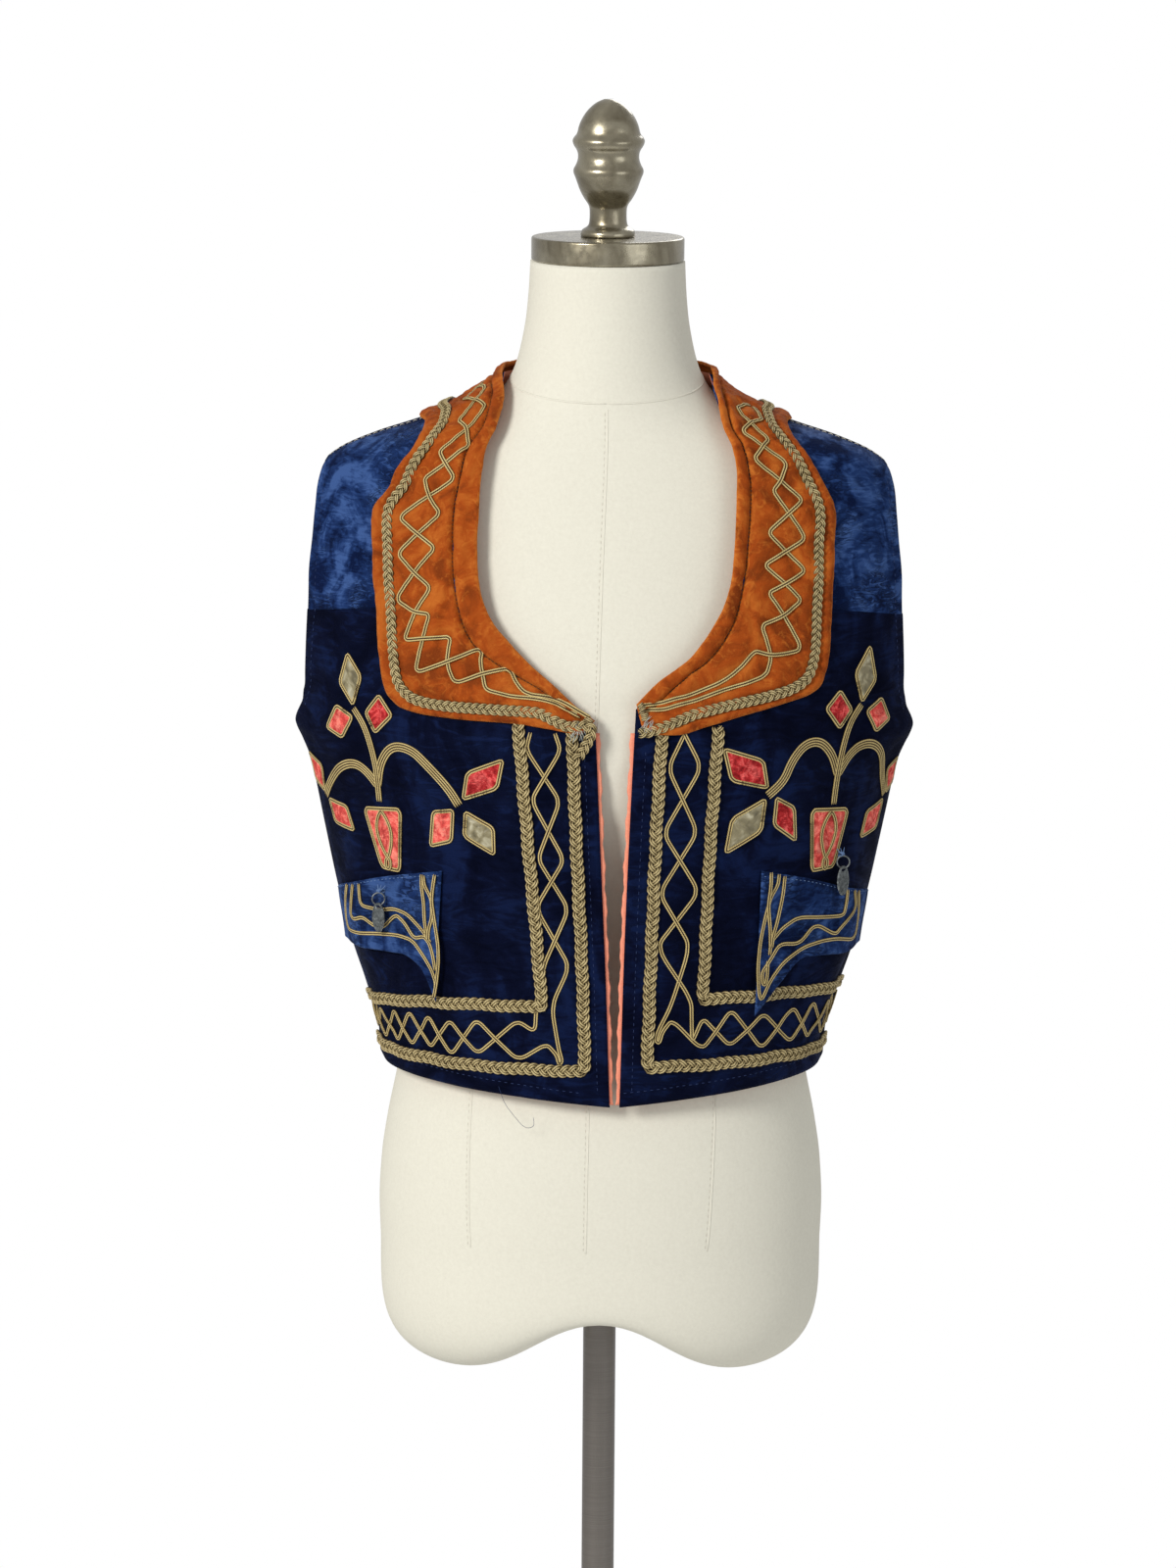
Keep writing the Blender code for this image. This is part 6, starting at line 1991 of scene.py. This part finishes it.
def make_charm(word):
    """A wire ring, a stamped oval plate and the thread knot that holds the ring."""
    joints = {joint["name"]: joint for joint in frame["joints"]}
    stitch = np.array(joints["ring_swing_" + word]["pos_m"], float)
    pivot = np.array(joints["plate_lift_" + word]["pos_m"], float)
    facing = unit(np.array(joints["ring_swing_" + word]["axis"], float))
    wire_line = unit(np.array(joints["plate_lift_" + word]["axis"], float))
    up = np.array([0.0, 0.0, 1.0])
    across = np.cross(facing, up)
    angles = np.linspace(0, 2 * math.pi, 73)
    centre = stitch - up * RING_RADIUS
    outward_line = wire_line * np.cos(angles)[:, None] + up * np.sin(angles)[:, None]
    line = centre + outward_line * RING_RADIUS
    square = np.broadcast_to(np.cross(wire_line, up), line.shape)
    pile = Pile()
    pile.tube(line, square, outward_line, RING_WIRE, RING_WIRE, 12, (1.0,))
    ring = pile.build("charm_wire_" + word, LOOKS["metal_charm"])
    ride(ring, "ring_" + word, ("charm_ring_" + word,))
    plate = make_plate("charm_oval_" + word, pivot, facing, across, up)
    ride(plate, "plate_" + word, ("charm_plate_" + word,))
    knot = Pile()
    for turn_number in range(5):
        lean = (turn_number - 2) * 0.0006
        loop = np.linspace(0.0, 2 * math.pi, 24)
        ways = facing * (np.cos(loop) * 0.0030)[:, None] + up * (np.sin(loop) * 0.0014)[:, None]
        sway = across * (lean + 0.0004 * np.cos(loop))[:, None]
        path = stitch - facing * 0.0026 + up * 0.0010 + ways + sway
        knot.strand(path, across, 0.00036, 0.00036)
    for lean in (-0.0012, 0.0, 0.0011):
        start = stitch + across * lean + up * 0.0012 - facing * 0.0010
        first = across * lean + up * 0.0020 - facing * 0.001
        second = across * lean * 2.4 + up * 0.0042 - facing * 0.002
        loose_thread(knot, start, (first, second), 0.00028)
    ride(knot.build("charm_knot_" + word, LOOKS["thread_pale_blue"]))


def make_plate(name, pivot, facing, across, up):
    """The plate's body with its hole, a raised rim, and scrolls stamped in relief."""
    low = HOLE_RIM - PLATE_HALF_HEIGHT + RING_WIRE + HANG_GAP
    middle = pivot + up * low
    hole_z = PLATE_HALF_HEIGHT - HOLE_RIM - HOLE_HALF_HEIGHT

    def spot(x, z, y):
        return middle + across * x[..., None] + up * z[..., None] + facing * y[..., None]

    count = 72
    angles = 2 * math.pi * np.arange(count) / count
    shares = np.array([0.0, 0.06, 0.2, 0.4, 0.6, 0.78, 0.90, 0.97, 1.0])[:, None]
    hole_x = HOLE_HALF_WIDTH * np.cos(angles)
    hole_y = hole_z + HOLE_HALF_HEIGHT * np.sin(angles)
    edge_x = PLATE_HALF_WIDTH * np.cos(angles)
    edge_z = PLATE_HALF_HEIGHT * np.sin(angles)
    x = hole_x + (edge_x - hole_x) * shares
    z = hole_y + (edge_z - hole_y) * shares
    swell = 0.0002 * np.sin(x * 2100) * np.sin(z * 1700) * np.sin(math.pi * shares)
    rise = np.sqrt(1 - np.clip((np.abs(shares - 0.5) - 0.42) / 0.08, 0, 1) ** 2) * PLATE_THICK / 2
    front = spot(x, z, rise + swell)
    rear = spot(x, z, -rise + 0 * x)
    pile = Pile()
    pile.grid(front, wrap=True)
    pile.grid(rear[::-1], wrap=True)
    rows = len(shares)
    for k in range(count):
        n = (k + 1) % count
        last = (rows - 1) * count
        back = rows * count
        pile.loose.append([last + k, last + n, back + n, back + k][::-1])
        pile.loose.append([k, n, back + last + n, back + last + k])
    face = PLATE_THICK / 2 + 0.00005
    loop = np.linspace(0, 2 * math.pi, 61)
    lines = [(0.86 * PLATE_HALF_WIDTH * np.cos(loop), 0.90 * PLATE_HALF_HEIGHT * np.sin(loop))]
    for cx, cz, size, turns, flip in SCROLLS:
        share = np.linspace(0.12, 1.0, 40)
        spin = 2 * math.pi * turns * share * flip
        lines.append((cx + size * share * np.cos(spin), cz + size * share * np.sin(spin)))
    for x, z in lines:
        path = spot(x, z, np.full_like(x, face))
        pile.strand(path, facing, 0.00034, 0.00026)
    for bead in range(30):
        angle = 2 * math.pi * bead / 30
        x = np.linspace(-0.0002, 0.0002, 4) + 0.95 * PLATE_HALF_WIDTH * math.cos(angle)
        path = spot(x, np.full(4, 0.955 * PLATE_HALF_HEIGHT * math.sin(angle)), np.full(4, face - 0.0001))
        pile.strand(path, facing, 0.00022, 0.0002, ends=(0.6,))
    return turn_out(pile.build(name, LOOKS["metal_charm"]))


# ---- dress form and stand ----


def form_ring(sizes, height):
    return ring_points(sizes, np.linspace(0.0, 2 * math.pi, FORM_TURNS, endpoint=False), height)


def form_foot(reach):
    """A ring of the form's rounded foot, with the arch between its two lobes."""
    drop = (1 - reach**LOBE_POWER) ** (1 / LOBE_POWER)
    ring = form_ring(ring_sizes(FORM_RINGS, LOBE_TOP), 0.0)
    ring[:, :2] *= reach
    rise = ARCH_RISE * np.exp(-((ring[:, 0] / ARCH_HALF) ** 2)) * drop**2
    ring[:, 2] = LOBE_TOP - LOBE_DROP * drop + rise
    return ring


def make_form():
    """The linen torso, open at its foot round the pole's socket."""
    socket = (SOCKET_RADIUS, SOCKET_RADIUS, SOCKET_RADIUS, 2.0)
    rings = [form_ring(socket, height) for height in (SOCKET_FOOT, LOBE_TOP - LOBE_DROP + ARCH_RISE)]
    for share in np.linspace(0.0, 1.0, 38)[:-1]:
        rings.append(form_foot(0.105 + 0.895 * (1 - (1 - share) ** 2.2)))
    for height in np.linspace(LOBE_TOP, FORM_RINGS[-1][0], 190):
        rings.append(form_ring(ring_sizes(FORM_RINGS, height), height))
    pile = Pile()
    pile.grid(np.array(rings), wrap=True)
    pile.close((len(rings) - 1) * FORM_TURNS, FORM_TURNS)
    pile.close(0, FORM_TURNS, True)
    ride(turn_out(pile.build("linen_form", LOOKS["linen_cream"])), replaces=("form_body",))


def form_spot(share, height, front):
    """A point of the form's face at a share of its half width, and its normal."""
    points = []
    for shift in ((0, 0), (0.004, 0), (0, 0.004)):
        s = np.clip(share + shift[0], -0.999, 0.999)
        h = height + shift[1]
        table = np.array(FORM_RINGS)
        half, ahead, behind, square = [smooth_curve(h, table[:, 0], table[:, k]) for k in range(1, 5)]
        drop = np.clip((LOBE_TOP - h) / LOBE_DROP, 0, 0.99)
        shrink = (1 - drop**LOBE_POWER) ** (1 / LOBE_POWER)
        depth = (1 - np.abs(s) ** square) ** (1 / square) * np.where(front, -ahead, behind)
        points.append(np.stack([s * half * shrink, depth * shrink, h], axis=1))
    normal = unit(np.cross(points[1] - points[0], points[2] - points[0]))
    return points[0], normal * (1.0 if front else -1.0)


def make_form_seams():
    """The form's seams: a fine pressed ridge and its topstitching."""
    table = np.array(FORM_SEAMS)
    ridge = Pile()
    stitches = Pile()
    for column, top in ((1, NECK_SEAM_FRONT - 0.004), (2, SIDE_SEAM_TOP), (3, SIDE_SEAM_TOP)):
        heights = np.linspace(SEAM_FOOT, top, 240)
        share = smooth_curve(heights, table[:, 0], table[:, column])
        for front in (True, False):
            line, normals = form_spot(share if front else -share * 0.8, heights, front)
            _, (even, even_normals) = evenly(line, 0.004, (normals,))
            across, up = flat_normals(even, unit(even_normals))
            ridge.tube(even, across, up, *SEAM_RIDGE)
            dashes(stitches, even + across * 0.0020, even_normals, 0.0027, 0.0019, 0.00017)
    angles = np.linspace(0, 2 * math.pi, 241)
    middle = (NECK_SEAM_FRONT + NECK_SEAM_BACK) / 2
    swing = (NECK_SEAM_BACK - NECK_SEAM_FRONT) / 2
    height = middle - swing * np.cos(angles)
    line = ring_points(np.array([ring_sizes(FORM_RINGS, h) for h in height]).T, angles, height)
    normals = unit(line * np.array([1.0, 1.0, 0.0]) + np.array([0.0, 0.0, 0.02]))
    _, (even, even_normals) = evenly(line, 0.003, (normals,))
    across, up = flat_normals(even, unit(even_normals))
    ridge.tube(even, across, up, *NECK_RIDGE)
    ride(ridge.build("form_seams", LOOKS["linen_cream"]))
    ride(stitches.build("form_stitches", LOOKS["thread_cream"]))


def turned_rings(profile, segments):
    """Rings round the axis from (height, radius) rows."""
    heights, radii = np.array(profile, float).T[:, :, None]
    angles = 2 * math.pi * np.arange(segments) / segments
    return np.stack(np.broadcast_arrays(radii * np.cos(angles), radii * np.sin(angles), heights), axis=-1)


def turned(name, profile, look, segments=96):
    """A turned solid from (height, radius) rows."""
    pile = Pile()
    pile.grid(turned_rings(profile, segments), wrap=True)
    pile.close(0, segments, True)
    pile.close((len(profile) - 1) * segments, segments)
    return turn_out(pile.build(name, LOOKS[look]))


def fine_profile(rows, count):
    """A turned profile drawn through its rows with rounded turns."""
    return dense(np.array(soften(rows, 2, 0.25)), count)


def make_stand():
    """Cap and finial, and the finishes of the pole and base."""
    finial = turned("turned_finial", fine_profile(FINIAL_PROFILE, 120), "bronze_antique")
    ride(finial, replaces=("finial",))
    turns = np.linspace(0, math.pi / 2, 9)
    corner = [(CAP_ROUND * (1 - math.sin(a)), CAP_RADIUS - CAP_ROUND * (1 - math.cos(a))) for a in turns]
    foot = [(CAP_BOTTOM + rise, radius) for rise, radius in corner[::-1]]
    rim = [(CAP_TOP - drop, radius) for drop, radius in corner]
    inner = [(CAP_TOP, CAP_RADIUS * share) for share in (0.9, 0.7, 0.5, 0.42)]
    base = [(CAP_BOTTOM, CAP_RADIUS * 0.9)]
    cap = turned("turned_cap", base + foot + rim + inner, "bronze_antique", 160)
    ride(cap, replaces=("neck_cap",))
    for name in ("pole", "base_disc"):
        node = frame["nodes"][name]
        node.data.materials.clear()
        node.data.materials.append(LOOKS["steel_dark"])


# ---- studio ----


def make_camera():
    tilt = math.radians(CAMERA_TILT)
    data = bpy.data.cameras.new("camera")
    data.sensor_fit = "VERTICAL"
    data.sensor_height = 36.0
    data.lens = CAMERA_LENS
    data.shift_x = CAMERA_SHIFT
    data.clip_end = 60.0
    camera = add_object("camera", data)
    spot = Vector((0.0, -CAMERA_AWAY * math.cos(tilt), CAMERA_AIM + CAMERA_AWAY * math.sin(tilt)))
    ahead = Vector((0.0, math.cos(tilt), -math.sin(tilt)))
    turn = ahead.to_track_quat("-Z", "Y").to_matrix().to_4x4()
    camera.matrix_world = Matrix.Translation(spot) @ turn @ Matrix.Rotation(math.radians(CAMERA_ROLL), 4, "Z")
    bpy.context.scene.camera = camera


def make_light(name, spot, aim, size, power, colour):
    data = bpy.data.lights.new(name, "AREA")
    data.shape = "DISK"
    data.size = size
    data.energy = power
    data.color = colour
    light = add_object(name, data)
    light.location = spot
    light.rotation_euler = (Vector(aim) - Vector(spot)).to_track_quat("-Z", "Y").to_euler()


def make_studio():
    world = bpy.data.worlds.new("studio")
    world.use_nodes = True
    background = world.node_tree.nodes["Background"]
    background.inputs["Color"].default_value = (1.0, 1.0, 1.0, 1.0)
    seen = world.node_tree.nodes.new("ShaderNodeLightPath").outputs["Is Camera Ray"]
    strength = world.node_tree.nodes.new("ShaderNodeMapRange")
    world.node_tree.links.new(seen, strength.inputs["Value"])
    strength.inputs["To Min"].default_value = WORLD_STRENGTH
    strength.inputs["To Max"].default_value = 1.0
    world.node_tree.links.new(strength.outputs["Result"], background.inputs["Strength"])
    bpy.context.scene.world = world
    for row in LIGHTS:
        make_light(*row)
    look = Shading("floor")
    grain = look.noise(3.0, 2.0)
    look.finish(look.ramp(grain, ((0.2, (0.86, 0.86, 0.85)), (0.8, (0.90, 0.90, 0.89)))), Roughness=0.9)
    pile = Pile()
    pile.grid(turned_rings([(-0.0005, radius) for radius in (0.02, 0.5, 1.0, FLOOR_RADIUS)], 96), wrap=True)
    pile.close(0, 96, True)
    floor = pile.build("floor", look.material)
    bpy.context.scene.view_settings.view_transform = "Standard"


# ---- the whole ----


def main():
    make_camera()
    make_studio()
    sheets = []
    patches = []
    for side, word in SIDES:
        cords = lattice_spots(side)
        front = make_panel("front", side, word, front_grid, FRONT_ROLL, "velvet_navy")
        yoke = make_panel("yoke", side, word, yoke_grid, YOKE_ROLL, "velvet_blue")
        collar = make_collar_piece(side, "collar_panel_" + word, None, 1.0, COLLAR_GRID,
                                   "collar_" + word, cords)
        band = make_collar_piece(side, "collar_band_" + word, 0.0, None, BAND_GRID, "neck_band_" + word)
        lining = make_lining(side, word)
        flap = make_flap(side, word)
        flap_cords = make_flap_cords(side, word)
        collar_trim = [make(side, word) for make in (make_collar_braid, make_collar_lattice, make_end_wraps)]
        front_trim = [make_front_lattice(side, word)]
        front_trim += [make_front_braid(name, row) for name, row in BRAIDS.items() if row[0] == side]
        flower_cords, flower_patches = make_flower(side, word)
        front_trim.append(flower_cords)
        patches += [(patch, outline, front) for patch, outline in flower_patches]
        make_charm(word)
        sheets += [
            (front, "front_" + word, front_trim),
            (yoke, "yoke_" + word, ()),
            (collar, "collar_" + word, collar_trim),
            (band, "band_" + word, ()),
            (lining, "lining_" + word, ()),
            (flap, "flap_" + word, (flap_cords,)),
        ]
    sheets.append((make_back(), "back", ()))
    make_stitches()
    make_frays()
    make_form()
    make_form_seams()
    make_stand()


main()
